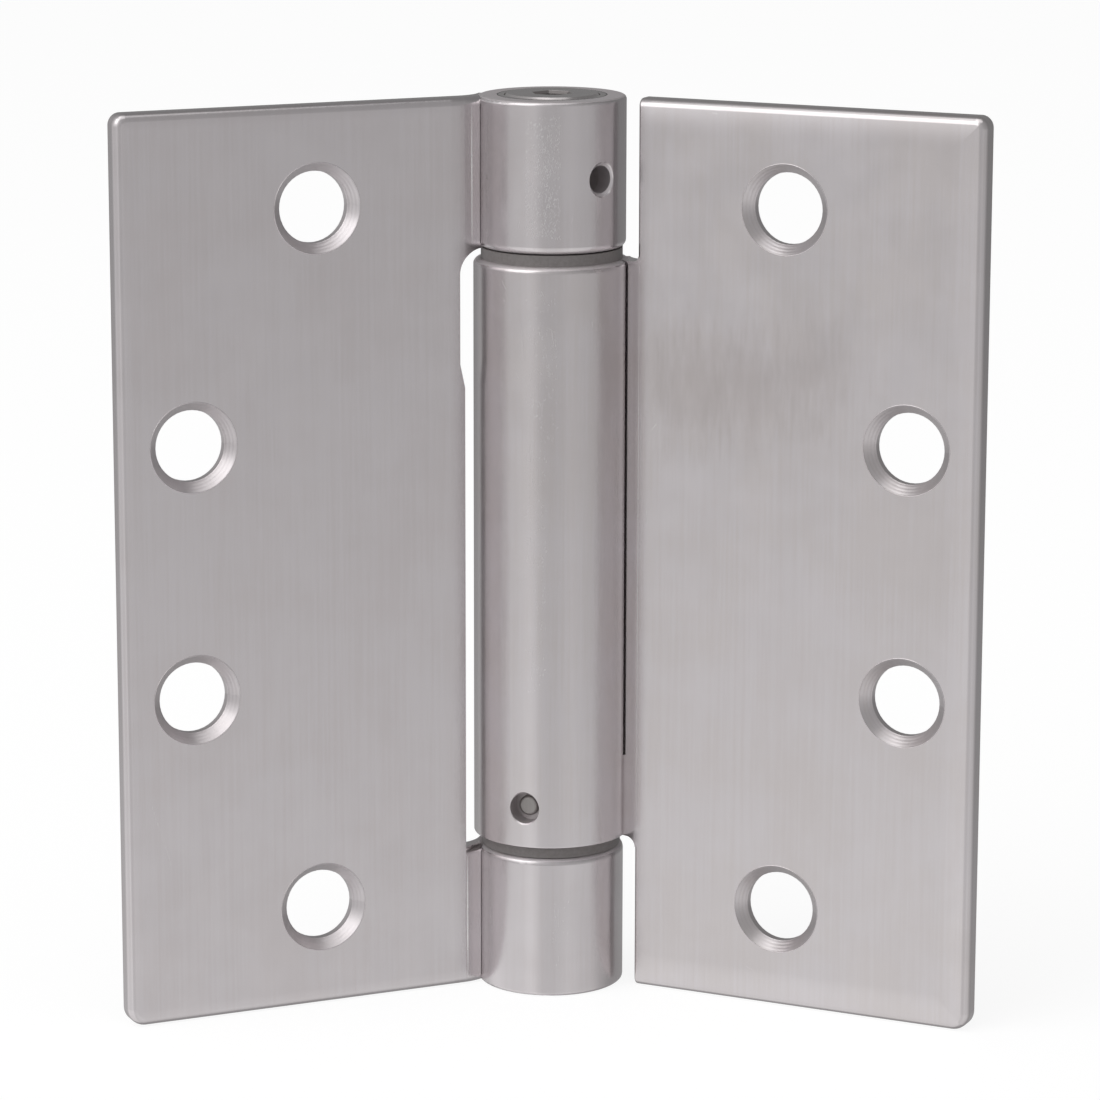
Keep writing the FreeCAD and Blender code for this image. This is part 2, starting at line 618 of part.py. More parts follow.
def make_spring_anchor():
    """Anchor with a slotted boss for the spring's lower leg and a blind bore for the bushing."""
    bore_head = f"({BARREL_FOOT} + Sizes.lower_bushing_length + Sizes.end_play)"
    boss_head = f"({ANCHOR_TOP} + {BOSS_HEIGHT})"
    body = turned("spring_anchor", [
        (LOWER_BUSHING, BARREL_FOOT), (BARREL_BORE, BARREL_FOOT), (BARREL_BORE, ANCHOR_TOP),
        (BOSS_RADIUS, ANCHOR_TOP), (BOSS_RADIUS, boss_head), ("0", boss_head), ("0", bore_head),
        (LOWER_BUSHING, bore_head)], with_door=True)
    slot = sketch_on(body, "XY_Plane", "spring_anchor_slot", shift=boss_head)
    leg_line(slot, "0", f"{BOSS_RADIUS} + 1")
    pocket(body, slot, BOSS_HEIGHT)
    seat = sketch_on(body, "XZ_Plane", "spring_anchor_seat", shift=BARREL_BORE, turn="Sizes.anchor_hole_angle")
    circle(seat, "0", ANCHOR_HOLE_HEIGHT, "Sizes.anchor_pin_diameter / 2")
    pocket(body, seat, "Sizes.anchor_pin_grip")
    return body


def make_anchor_pin():
    """Short pin through the barrel wall into the anchor, with a rounded nose a little below the surface."""
    pin = doc.addObject("Part::Cylinder", "anchor_pin_shank")
    pin.setExpression("Radius", "Sizes.anchor_pin_diameter / 2")
    pin.setExpression("Height", f"Sizes.sheet_thickness - Sizes.anchor_pin_sink + Sizes.anchor_pin_grip")
    doc.recompute()
    rounded = doc.addObject("Part::Fillet", "anchor_pin")
    rounded.Base = pin
    rim = next(index for index, edge in enumerate(pin.Shape.Edges, start=1)
               if all(abs(v.Z - pin.Height.Value) < CLOSE for v in edge.Vertexes))
    nose = number("Sizes.anchor_pin_nose")
    rounded.Edges = [(rim, nose, nose)]
    angle = -90 + number("Sizes.anchor_hole_angle") - number("Sizes.rest_splay_angle")
    way = FreeCAD.Vector(math.cos(angle * DEGREE), math.sin(angle * DEGREE), 0)
    start = way * number(f"{BARREL_BORE} - Sizes.anchor_pin_grip")
    start.z = number(ANCHOR_HOLE_HEIGHT)
    rounded.Placement = FreeCAD.Placement(start, FreeCAD.Rotation(FreeCAD.Vector(0, 0, 1), way))
    rounded.Label = "anchor_pin"
    doc.recompute()
    return rounded


def make_torsion_spring():
    """Closed-coil torsion spring with a straight leg across each end."""
    helix = doc.addObject("Part::Helix", "spring_line")
    helix.setExpression("Radius", COIL_RADIUS)
    helix.setExpression("Height", SPRING_SPACE)
    helix.setExpression("Pitch", f"{SPRING_SPACE} / {COIL_TURNS}")
    helix.LocalCoord = "Left-handed"
    helix.SegmentLength = 1
    section = doc.addObject("Part::Circle", "spring_section")
    section.setExpression("Radius", "Sizes.spring_wire / 2")
    section.Placement = FreeCAD.Placement(
        FreeCAD.Vector(number(COIL_RADIUS), 0, 0), FreeCAD.Rotation(FreeCAD.Vector(1, 0, 0), 90))
    section.setExpression("Placement.Base.x", COIL_RADIUS)
    coil = doc.addObject("Part::Sweep", "spring_coil")
    coil.Sections = [section]
    coil.Spine = (helix, [])
    coil.Solid = True
    coil.Frenet = True
    doc.recompute()
    pieces = [coil]
    for name, rise in (("lower", "0"), ("upper", SPRING_SPACE)):
        leg = doc.addObject("Part::Cylinder", "spring_%s_leg" % name)
        leg.setExpression("Radius", LEG_RADIUS)
        leg.setExpression("Height", f"2 * {COIL_RADIUS}")
        leg.Placement = FreeCAD.Placement(FreeCAD.Vector(), FreeCAD.Rotation(FreeCAD.Vector(0, 1, 0), 90))
        leg.setExpression("Placement.Base.x", f"0 - {COIL_RADIUS} + Sizes.spring_wire / 2")
        leg.setExpression("Placement.Base.z", rise)
        pieces.append(leg)
    spring = doc.addObject("Part::MultiFuse", "torsion_spring")
    spring.Shapes = pieces
    turn_with_door(spring)
    spring.setExpression("Placement.Base.z", f"{ANCHOR_TOP} + {LEG_RADIUS}")
    spring.Label = "torsion_spring"
    doc.recompute()
    return spring


PIECES = [
    make_frame_leaf(),
    make_door_leaf(),
    make_retaining_bushing(),
    make_tension_plug(),
    make_washer("upper_thrust_washer", UPPER_JOURNAL, BARREL_HEAD, with_door=True),
    make_washer("lower_thrust_washer", LOWER_JOURNAL, BOTTOM_TOP, with_door=False),
    make_bushing("upper_barrel_bushing", f"({UPPER_JOURNAL} + Sizes.running_clearance)", BARREL_BORE,
                 UPPER_BUSHING_FOOT, "Sizes.upper_bushing_length"),
    make_bushing("lower_barrel_bushing", f"({LOWER_JOURNAL} + Sizes.running_clearance)", LOWER_BUSHING,
                 BARREL_FOOT, "Sizes.lower_bushing_length"),
    make_pivot_pin(),
    make_bottom_plug(),
    make_spring_anchor(),
    make_anchor_pin(),
    make_torsion_spring(),
]

# Checks, then one STEP file for each piece
doc.recompute()
failed = [item.Name for item in doc.Objects if {"Invalid", "Error"} & set(item.State)]
if failed:
    raise RuntimeError("failed objects: " + ", ".join(failed))
os.makedirs("parts", exist_ok=True)
for piece in PIECES:
    shape = piece.Shape
    if shape.isNull() or not shape.isValid():
        raise RuntimeError(piece.Label + " has no valid shape")
    print("%-22s solids %d volume %10.3f mm3 box %s" % (
        piece.Label, len(shape.Solids), shape.Volume,
        " ".join("%.3f" % side for side in (shape.BoundBox.XLength, shape.BoundBox.YLength, shape.BoundBox.ZLength))))
    shape.exportStep("parts/%s.step" % piece.Label)
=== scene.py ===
"""Looks of a spring butt hinge in satin stainless steel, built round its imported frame."""

import logging
import math
from dataclasses import dataclass
from enum import Enum
from typing import Any, Iterable, Optional, Sequence

import bpy
from mathutils import Euler, Matrix, Vector


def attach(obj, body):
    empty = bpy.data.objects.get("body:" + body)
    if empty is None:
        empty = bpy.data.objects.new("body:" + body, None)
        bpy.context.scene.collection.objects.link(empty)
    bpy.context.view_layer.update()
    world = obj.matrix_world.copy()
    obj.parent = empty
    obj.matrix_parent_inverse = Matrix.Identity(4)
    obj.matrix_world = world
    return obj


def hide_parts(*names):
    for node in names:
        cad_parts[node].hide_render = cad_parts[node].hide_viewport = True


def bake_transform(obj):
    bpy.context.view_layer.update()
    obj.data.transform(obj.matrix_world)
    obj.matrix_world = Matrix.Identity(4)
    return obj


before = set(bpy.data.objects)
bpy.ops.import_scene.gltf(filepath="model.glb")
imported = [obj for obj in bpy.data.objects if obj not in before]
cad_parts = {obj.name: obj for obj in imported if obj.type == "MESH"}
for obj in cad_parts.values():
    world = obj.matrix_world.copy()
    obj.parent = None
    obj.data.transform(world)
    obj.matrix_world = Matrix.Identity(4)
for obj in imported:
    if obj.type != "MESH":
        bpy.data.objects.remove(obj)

LOG = logging.getLogger("spring_butt_hinge")
MM = 0.001

# Sizes of the hinge that the looks follow, in millimetres and degrees
LEAF_HEIGHT = 114.3
LEAF_WIDTH = 57.15
LEAF_FACE = 0.8
REST_SPLAY = 49.9
SLOT_EDGE = 11.5
BEND_RADIUS = 7.2
KNUCKLE_RADIUS = 9.3
BARREL_RADIUS = 9.85
# Near and far screw holes: distance along the leaf, and height from its middle
HOLES = ((31.15, 44.45), (47.625, 15.875))
COUNTERSINK_RADIUS = 5.65
PLUG_FACE_RISE = 114.48
RING_FOOT_RISE = 112.0
HEXAGON_RADIUS = 2.7
# Roughness of drilled holes and of cut countersinks
DRILLED_ROUGHNESS = 0.6
CUT_ROUGHNESS = 0.34
# Painted shade: a dark line in the plug's seam, and a darker tone in its socket
SEAM_SHADE_COLOUR = "4A4644"
SOCKET_SHADE_COLOUR = "6E6967"
SOCKET_SHADE_SHARE = 0.7


class Side(Enum):
    """The two halves of the hinge, with the angle of the leaf about the axis in degrees."""

    FRAME = 180.0
    DOOR = -REST_SPLAY


class Body(Enum):
    """Bodies of the frame that the looks ride on."""

    FRAME = "frame"
    DOOR = "door"
    PLUG = "plug"


def linear(hex_colour: str) -> tuple[float, float, float, float]:
    """Turns an sRGB hex colour to linear light.

    Args:
        hex_colour: Six hex digits, without a hash.

    Returns:
        Red, green, blue and alpha, in linear light.
    """
    channels = []
    for start in (0, 2, 4):
        value = int(hex_colour[start:start + 2], 16) / 255.0
        channels.append(value / 12.92 if value <= 0.04045 else ((value + 0.055) / 1.055) ** 2.4)
    return channels[0], channels[1], channels[2], 1.0


def add_node(tree: Any, kind: str, settings: Optional[dict[str, Any]] = None,
             sockets: Optional[dict[Any, Any]] = None) -> Any:
    """Adds a node with its settings, values and links.

    Args:
        tree: Node tree that takes the node.
        kind: Blender's name of the node type.
        settings: Attributes of the node.
        sockets: Input name or number to a value, or to the output socket that feeds it.

    Returns:
        The new node.
    """
    node = tree.nodes.new(kind)
    for name, value in (settings or {}).items():
        setattr(node, name, value)
    for key, value in (sockets or {}).items():
        if isinstance(value, bpy.types.NodeSocket):
            tree.links.new(value, node.inputs[key])
        else:
            node.inputs[key].default_value = value
    return node


def grey_ramp(tree: Any, value: Any, stops: Sequence[tuple[float, float]]) -> Any:
    """Maps a value from 0 to 1 through grey levels.

    Args:
        tree: Node tree that takes the ramp.
        value: Socket to map.
        stops: Place from 0 to 1 and grey level, in order.

    Returns:
        The grey level's socket.
    """
    node = add_node(tree, "ShaderNodeValToRGB", None, {0: value})
    ramp = node.color_ramp
    ramp.interpolation = "EASE"
    while len(ramp.elements) < len(stops):
        ramp.elements.new(0.5)
    for element, (place, level) in zip(ramp.elements, stops):
        element.position = place
        element.color = (level, level, level, 1.0)
    return node.outputs[0]


def step(tree: Any, operation: str, *values: Any) -> Any:
    """Adds one step of arithmetic.

    Args:
        tree: Node tree that takes the step.
        operation: Blender's name of the operation.
        values: Numbers or output sockets.

    Returns:
        The result's socket.
    """
    return add_node(tree, "ShaderNodeMath", {"operation": operation}, dict(enumerate(values))).outputs[0]


def eased(tree: Any, value: Any, low: float, high: float, start: float = 0.0, end: float = 1.0) -> Any:
    """Maps a value smoothly from one range to another and holds it beyond.

    Args:
        tree: Node tree that takes the step.
        value: Socket to map.
        low: Value at which the change starts.
        high: Value at which the change ends.
        start: Result up to low.
        end: Result from high on.

    Returns:
        The result's socket.
    """
    return add_node(tree, "ShaderNodeMapRange", {"interpolation_type": "SMOOTHSTEP"}, {
        "Value": value, "From Min": low, "From Max": high, "To Min": start, "To Max": end}).outputs[0]


def here(tree: Any) -> Any:
    """Object coordinates of the shaded point.

    Args:
        tree: Node tree of the material.

    Returns:
        The coordinates' socket, in metres.
    """
    return add_node(tree, "ShaderNodeTexCoord").outputs["Object"]


def height_here(tree: Any) -> Any:
    """Height of the shaded point over the lower ends.

    Args:
        tree: Node tree of the material.

    Returns:
        The height's socket, in metres.
    """
    return add_node(tree, "ShaderNodeSeparateXYZ", None, {0: here(tree)}).outputs["Z"]


def mixed(tree: Any, share: Any, first: Any, second: Any, in_colour: bool = True) -> Any:
    """Mixes two colours or two numbers.

    Args:
        tree: Node tree that takes the mix.
        share: Share of the second one.
        first: Result at share 0.
        second: Result at share 1.
        in_colour: Whether they are colours.

    Returns:
        The result's socket.
    """
    kind, start, end = ("RGBA", 6, 2) if in_colour else ("FLOAT", 2, 0)
    return add_node(tree, "ShaderNodeMix", {"data_type": kind}, {
        "Factor": share, start: first, start + 1: second}).outputs[end]


def new_material(name: str) -> tuple[bpy.types.Material, Any]:
    """Starts a node material with an empty tree.

    Args:
        name: Name of the material.

    Returns:
        The material and its tree.
    """
    material = bpy.data.materials.new(name)
    material.use_nodes = True
    material.node_tree.nodes.clear()
    return material, material.node_tree


# Finishes

@dataclass(frozen=True)
class MetalFinish:
    """A metal surface: its colour, its gloss and the marks of its making."""

    name: str
    colour: str
    cloud_colour: str
    roughness: float
    grain_across_mm: float
    grain_along_mm: float
    grain_depth_mm: float

    # Clouds, patches of gloss, and upright streaks by width and length
    CLOUD_MM, PATCH_MM, STREAK_MM = 14.0, 6.0, (0.5, 25.0)
    STREAK_SHARE, CLOUD_FROM, CLOUD_TO = 0.6, 0.6, 1.05
    PATCH_FROM, PATCH_TO, GLOSS_SPREAD = 0.3, 0.7, 0.03

    def build(self) -> bpy.types.Material:
        """Builds the node material.

        Returns:
            The material.
        """
        material, tree = new_material(self.name)
        bump = add_node(tree, "ShaderNodeBump", None,
                        {"Strength": 1.0, "Distance": MM, "Height": self.heights(tree)})
        shader = add_node(tree, "ShaderNodeBsdfPrincipled", None, {
            "Base Color": self.tones(tree), "Metallic": 1.0,
            "Roughness": self.gloss(tree), "Normal": bump.outputs[0]})
        add_node(tree, "ShaderNodeOutputMaterial", None, {"Surface": shader.outputs[0]})
        return material

    def tones(self, tree: Any) -> Any:
        """Faint clouds and upright streaks of another tone, as handling and rolling leave them.

        Args:
            tree: Node tree of the material.

        Returns:
            The colour's socket.
        """
        clouds = add_node(tree, "ShaderNodeTexNoise", None,
                          {"Vector": here(tree), "Scale": 1.0 / (self.CLOUD_MM * MM), "Detail": 4.0, "Roughness": 0.6})
        streaks = self.upright_noise(tree, *self.STREAK_MM, 3.0, 0.7)
        both = step(tree, "MULTIPLY_ADD", streaks, self.STREAK_SHARE, clouds.outputs[0])
        share = eased(tree, both, self.CLOUD_FROM, self.CLOUD_TO)
        return mixed(tree, share, linear(self.colour), linear(self.cloud_colour))

    def gloss(self, tree: Any) -> Any:
        """Roughness that wanders a little about its middle.

        Args:
            tree: Node tree of the material.

        Returns:
            The roughness socket.
        """
        patches = add_node(tree, "ShaderNodeTexNoise", None,
                           {"Vector": here(tree), "Scale": 1.0 / (self.PATCH_MM * MM), "Detail": 3.0})
        return eased(tree, patches.outputs[0], self.PATCH_FROM, self.PATCH_TO,
                     self.roughness - self.GLOSS_SPREAD, self.roughness + self.GLOSS_SPREAD)

    def radius(self, tree: Any) -> Any:
        """Distance from the hinge's axis.

        Args:
            tree: Node tree of the material.

        Returns:
            The distance's socket, in millimetres.
        """
        flat = add_node(tree, "ShaderNodeVectorMath", {"operation": "MULTIPLY"}, {
            0: here(tree), 1: (1.0 / MM, 1.0 / MM, 0.0)})
        return add_node(tree, "ShaderNodeVectorMath", {"operation": "LENGTH"}, {0: flat.outputs[0]}).outputs["Value"]

    def upright_noise(self, tree: Any, across_mm: float, along_mm: float, detail: float = 3.0,
                      roughness: float = 0.6) -> Any:
        """Noise drawn out along the hinge's axis.

        Args:
            tree: Node tree of the material.
            across_mm: Width of a line.
            along_mm: Length of a line.
            detail: Number of finer layers.
            roughness: Weight of the finer layers.

        Returns:
            The noise's socket.
        """
        across, along = 1.0 / (across_mm * MM), 1.0 / (along_mm * MM)
        stretched = add_node(tree, "ShaderNodeMapping", None, {
            "Vector": here(tree), "Scale": (across, across, along)})
        return add_node(tree, "ShaderNodeTexNoise", None, {
            "Vector": stretched.outputs[0], "Scale": 1.0, "Detail": detail, "Roughness": roughness}).outputs[0]

    def heights(self, tree: Any) -> Any:
        """Relief of the finish.

        Args:
            tree: Node tree of the material.

        Returns:
            The height's socket, in millimetres.
        """
        grain = self.upright_noise(tree, self.grain_across_mm, self.grain_along_mm)
        return step(tree, "MULTIPLY", grain, self.grain_depth_mm)


@dataclass(frozen=True)
class Stain:
    """Dull patch that heat or oil left on a leaf."""

    along_mm: float
    rise_mm: float
    half_width_mm: float
    half_height_mm: float
    strength: float


@dataclass(frozen=True)
class LeafFinish(MetalFinish):
    """Satin sheet: streaks of the rolls, edges drawn down by the press, cutter rings in the countersinks."""

    side: Side
    edge_width_mm: float
    edge_drop_mm: float
    crease_along_mm: float
    stains: tuple[Stain, ...] = ()
    stain_colour: str = "C5BEBD"
    streak_across_mm: float = 1.6
    streak_along_mm: float = 40.0
    streak_depth_mm: float = 0.008
    ring_pitch_mm: float = 0.33
    ring_depth_mm: float = 0.004
    crease_length_mm: float = 3.4
    crease_tilt: float = 0.11
    bore_margin_mm: float = 0.15

    # Streaks of a stain by width and length, and how far they fray its edge
    STAIN_MM, FRAYED, STAIN_FROM, STAIN_TO = (1.6, 9.0), 1.6, 0.7, 2.1

    def gloss(self, tree: Any) -> Any:
        """Satin outside, half matt in the cut countersinks, and rough in the knuckles' drilled holes.

        Args:
            tree: Node tree of the material.

        Returns:
            The roughness socket.
        """
        outer = KNUCKLE_RADIUS if self.side is Side.FRAME else BARREL_RADIUS
        in_sink = step(tree, "LESS_THAN", self.to_hole(tree, *self.leaf_places(tree)), COUNTERSINK_RADIUS)
        in_bore = step(tree, "LESS_THAN", self.radius(tree), outer - self.bore_margin_mm)
        face = mixed(tree, in_sink, super().gloss(tree), CUT_ROUGHNESS, False)
        return mixed(tree, in_bore, face, DRILLED_ROUGHNESS, False)

    def leaf_places(self, tree: Any) -> tuple[Any, Any]:
        """Places on the leaf.

        Args:
            tree: Node tree of the material.

        Returns:
            Sockets of the distance along the leaf and of the height, in millimetres.
        """
        turn = math.radians(self.side.value)
        along = add_node(tree, "ShaderNodeVectorMath", {"operation": "DOT_PRODUCT"}, {
            0: here(tree), 1: (math.cos(turn) / MM, math.sin(turn) / MM, 0.0)}).outputs["Value"]
        return along, step(tree, "DIVIDE", height_here(tree), MM)

    def to_hole(self, tree: Any, along: Any, rise: Any) -> Any:
        """Distance from the axis of the nearest screw hole.

        Args:
            tree: Node tree of the material.
            along: Distance along the leaf in millimetres.
            rise: Height in millimetres.

        Returns:
            The distance's socket, in millimetres.
        """
        from_middle = step(tree, "ABSOLUTE", step(tree, "SUBTRACT", rise, LEAF_HEIGHT / 2))
        nearest = None
        for hole_along, hole_rise in HOLES:
            across = step(tree, "POWER", step(tree, "SUBTRACT", along, hole_along), 2.0)
            up = step(tree, "POWER", step(tree, "SUBTRACT", from_middle, hole_rise), 2.0)
            away = step(tree, "SQRT", step(tree, "ADD", across, up))
            nearest = away if nearest is None else step(tree, "MINIMUM", nearest, away)
        return nearest

    def cutter_rings(self, tree: Any, along: Any, rise: Any) -> Any:
        """Rings of the cutter in the four countersinks.

        Args:
            tree: Node tree of the material.
            along: Distance along the leaf in millimetres.
            rise: Height in millimetres.

        Returns:
            The height's socket, in millimetres.
        """
        nearest = self.to_hole(tree, along, rise)
        inside = step(tree, "LESS_THAN", nearest, COUNTERSINK_RADIUS)
        wave = step(tree, "SINE", step(tree, "MULTIPLY", nearest, 2 * math.pi / self.ring_pitch_mm))
        return step(tree, "MULTIPLY", step(tree, "MULTIPLY", wave, self.ring_depth_mm), inside)

    def drawn_edges(self, tree: Any, along: Any, rise: Any) -> Any:
        """Face that falls away a little towards the blanked edges.

        Args:
            tree: Node tree of the material.
            along: Distance along the leaf in millimetres.
            rise: Height in millimetres.

        Returns:
            The height's socket, in millimetres.
        """
        to_end = step(tree, "MINIMUM", rise, step(tree, "SUBTRACT", LEAF_HEIGHT, rise))
        nearest = step(tree, "MINIMUM", to_end, step(tree, "SUBTRACT", LEAF_WIDTH, along))
        share = step(tree, "MAXIMUM", step(tree, "SUBTRACT", 1.0, step(
            tree, "DIVIDE", nearest, self.edge_width_mm)), 0.0)
        fall = step(tree, "MULTIPLY", step(tree, "MULTIPLY", share, share), -self.edge_drop_mm)
        return step(tree, "MULTIPLY", fall, step(tree, "GREATER_THAN", along, SLOT_EDGE))

    def crease(self, tree: Any, along: Any) -> Any:
        """Face that rolls off softly towards the bend of the neck.

        Args:
            tree: Node tree of the material.
            along: Distance along the leaf in millimetres.

        Returns:
            The height's socket, in millimetres.
        """
        into_neck = step(tree, "SUBTRACT", self.crease_along_mm, along)
        held = step(tree, "MINIMUM", step(tree, "MAXIMUM", into_neck, 0.0), self.crease_length_mm)
        eased_in = step(tree, "DIVIDE", step(tree, "MULTIPLY", held, held), step(tree, "ADD", held, 1.0))
        return step(tree, "MULTIPLY", eased_in, -self.crease_tilt)

    def heights(self, tree: Any) -> Any:
        """Grain, streaks, drawn edges, neck and cutter rings together.

        Args:
            tree: Node tree of the material.

        Returns:
            The height's socket, in millimetres.
        """
        along, rise = self.leaf_places(tree)
        total = super().heights(tree)
        streaks = self.upright_noise(tree, self.streak_across_mm, self.streak_along_mm)
        for part in (step(tree, "MULTIPLY", streaks, self.streak_depth_mm), self.cutter_rings(tree, along, rise),
                     self.drawn_edges(tree, along, rise), self.crease(tree, along)):
            total = step(tree, "ADD", total, part)
        return total

    def tones(self, tree: Any) -> Any:
        """Clouded steel with its stains.

        Args:
            tree: Node tree of the material.

        Returns:
            The colour's socket.
        """
        colour = super().tones(tree)
        along, rise = self.leaf_places(tree)
        ragged = self.upright_noise(tree, *self.STAIN_MM, 5.0, 0.65)
        for stain in self.stains:
            across = step(tree, "DIVIDE", step(tree, "SUBTRACT", along, stain.along_mm), stain.half_width_mm)
            up = step(tree, "DIVIDE", step(tree, "SUBTRACT", rise, stain.rise_mm), stain.half_height_mm)
            away = step(tree, "SQRT", step(tree, "ADD", step(tree, "POWER", across, 2.0),
                                           step(tree, "POWER", up, 2.0)))
            edge = step(tree, "ADD", away, step(tree, "MULTIPLY", ragged, self.FRAYED))
            share = eased(tree, edge, self.STAIN_FROM, self.STAIN_TO, stain.strength, 0.0)
            colour = mixed(tree, share, colour, linear(self.stain_colour))
        return colour


@dataclass(frozen=True)
class TurnedFinish(MetalFinish):
    """Bar turned in a lathe, with fine rings about the hinge's axis."""

    ring_pitch_mm: float
    ring_depth_mm: float
    seam_radius_mm: float
    seam_rise_mm: float

    # Where the seam's line of painted shade starts and ends to fade, and its share
    SEAM_FADE_MM, SEAM_SHARE = (0.06, 0.16), 0.9

    def gloss(self, tree: Any) -> Any:
        """Turned outside, and rough as pressed or drilled in its sockets.

        Args:
            tree: Node tree of the material.

        Returns:
            The roughness socket.
        """
        below = step(tree, "LESS_THAN", height_here(tree), RING_FOOT_RISE * MM)
        rough = step(tree, "MAXIMUM", self.in_hexagon(tree), below)
        return mixed(tree, rough, super().gloss(tree), DRILLED_ROUGHNESS, False)

    def in_hexagon(self, tree: Any) -> Any:
        """Share that is 1 inside the hexagon socket and 0 elsewhere.

        Args:
            tree: Node tree of the material.

        Returns:
            The share's socket.
        """
        return step(tree, "MULTIPLY", step(tree, "LESS_THAN", height_here(tree), PLUG_FACE_RISE * MM),
                    step(tree, "LESS_THAN", self.radius(tree), HEXAGON_RADIUS))

    def tones(self, tree: Any) -> Any:
        """Bar with a dark line of painted shade in the seam round the ring, and a socket darkened by painted shade.

        Args:
            tree: Node tree of the material.

        Returns:
            The colour's socket.
        """
        # Painted shade: a dark line along the seam round the ring
        away = step(tree, "ABSOLUTE", step(tree, "SUBTRACT", self.radius(tree), self.seam_radius_mm))
        line = step(tree, "MULTIPLY", step(tree, "GREATER_THAN", height_here(tree), self.seam_rise_mm * MM),
                    eased(tree, away, *self.SEAM_FADE_MM, self.SEAM_SHARE, 0.0))
        bar = mixed(tree, line, super().tones(tree), linear(SEAM_SHADE_COLOUR))
        # Painted shade: the hexagon socket is darkened
        socket_shade = step(tree, "MULTIPLY", self.in_hexagon(tree), SOCKET_SHADE_SHARE)
        return mixed(tree, socket_shade, bar, linear(SOCKET_SHADE_COLOUR))

    def heights(self, tree: Any) -> Any:
        """Rings of the lathe tool over a faint grain.

        Args:
            tree: Node tree of the material.

        Returns:
            The height's socket, in millimetres.
        """
        wave = step(tree, "SINE", step(tree, "MULTIPLY", self.radius(tree), 2 * math.pi / self.ring_pitch_mm))
        return step(tree, "ADD", super().heights(tree), step(tree, "MULTIPLY", wave, self.ring_depth_mm))


@dataclass(frozen=True)
class WasherFinish:
    """Dark bearing plastic filled with graphite: half matt, with a fine speckle."""

    name: str
    colour: str
    speck_colour: str
    roughness: float
    speck_mm: float = 0.4
    relief_mm: float = 0.01

    def build(self) -> bpy.types.Material:
        """Builds the node material.

        Returns:
            The material.
        """
        material, tree = new_material(self.name)
        specks = add_node(tree, "ShaderNodeTexNoise", None,
                          {"Vector": here(tree), "Scale": 1.0 / (self.speck_mm * MM), "Detail": 4.0})
        colour = mixed(tree, specks.outputs[0], linear(self.colour), linear(self.speck_colour))
        bump = add_node(tree, "ShaderNodeBump", None,
                        {"Strength": 1.0, "Distance": self.relief_mm * MM, "Height": specks.outputs[0]})
        shader = add_node(tree, "ShaderNodeBsdfPrincipled", None, {
            "Base Color": colour, "Roughness": self.roughness, "IOR": 1.5, "Normal": bump.outputs[0]})
        add_node(tree, "ShaderNodeOutputMaterial", None, {"Surface": shader.outputs[0]})
        return material


# The real sheet is 304 stainless steel, rolled and brushed to a satin: soft reflections with upright streaks.
# Grain and cutter rings are finer on the real hinge and are drawn as coarse as they need to show.
FRAME_SHEET = LeafFinish(
    "Satin_stainless_frame_leaf", "DAD5D7", "D6D0D1", 0.24, 0.35, 9.0, 0.0010, Side.FRAME,
    edge_width_mm=2.0, edge_drop_mm=0.08, crease_along_mm=13.4)
DOOR_SHEET = LeafFinish(
    "Satin_stainless_door_leaf", "DAD5D7", "D6D0D0", 0.24, 0.35, 9.0, 0.0010, Side.DOOR,
    edge_width_mm=4.4, edge_drop_mm=0.34, crease_along_mm=13.2, stains=(
        Stain(18.5, 79.0, 6.5, 9.5, 0.75), Stain(27.0, 79.5, 9.5, 9.0, 0.75), Stain(35.0, 82.0, 7.5, 8.0, 0.6)))
# The plug, ring and pivots are bar stock as it leaves the lathe: sharper glints in rings about the axis
TURNED_BAR = TurnedFinish("Turned_stainless_bar", "CFCBCB", "C8C3C3", 0.26, 0.5, 6.0, 0.0006, 0.3, 0.0016, 6.82, 113.5)
# Drawn pins and spring wire keep lines along their length. The spring wire has a darker, oiled tone; the anchor pin's
# darker tone is painted shade of the hole it sits in
SHADED_DRAWN_PIN = MetalFinish("Drawn_steel_pin_painted_shade", "A8A4A3", "96928F", 0.45, 0.2, 2.0, 0.0015)
SPRING_WIRE = MetalFinish("Oil_tempered_spring_wire", "7D7A78", "6A6665", 0.36, 0.3, 1.5, 0.0015)
# Sintered bronze is porous and soaked with oil: dull and brown
SINTERED_BRONZE = MetalFinish("Sintered_bronze", "A88A5E", "8C7048", 0.48, 0.12, 0.12, 0.004)
# Raised burrs of scratches and cut rims: real marks, coloured brighter than the steel as a painted highlight
GLINTING_BURR = MetalFinish("Steel_burr_painted_highlight", "F0EEEE", "E6E3E3", 0.28, 0.3, 2.0, 0.0004)
DARK_WASHER = WasherFinish("Graphite_filled_washer", "948F8E", "787372", 0.42)


# Places on the hinge

def on_leaf(side: Side, along: float, rise: float, proud: float = 0.0) -> Vector:
    """Point on the countersunk face of a leaf, or on the front of its neck.

    Args:
        side: Leaf.
        along: Distance from the axis along the leaf, in millimetres.
        rise: Height over the lower ends, in millimetres.
        proud: Distance out of the face, in millimetres.

    Returns:
        The point in metres.
    """
    turn = math.radians(side.value)
    way = Vector((math.cos(turn), math.sin(turn), 0.0))
    front = Vector((0.0, -1.0, 0.0)) if side is Side.FRAME else Vector((math.sin(turn), -math.cos(turn), 0.0))
    sunk = LEAF_FACE + max(SLOT_EDGE - along, 0.0) ** 2 / (2 * BEND_RADIUS)
    return (way * along + front * (proud - sunk) + Vector((0.0, 0.0, rise))) * MM


def on_knuckle(radius: float, angle: float, rise: float) -> Vector:
    """Point on the outside of a knuckle.

    Args:
        radius: Outer radius of the knuckle, in millimetres.
        angle: Angle about the axis from +X, in degrees.
        rise: Height over the lower ends, in millimetres.

    Returns:
        The point in metres.
    """
    turn = math.radians(angle)
    return Vector((math.cos(turn) * radius, math.sin(turn) * radius, rise)) * MM


# Geometry Nodes

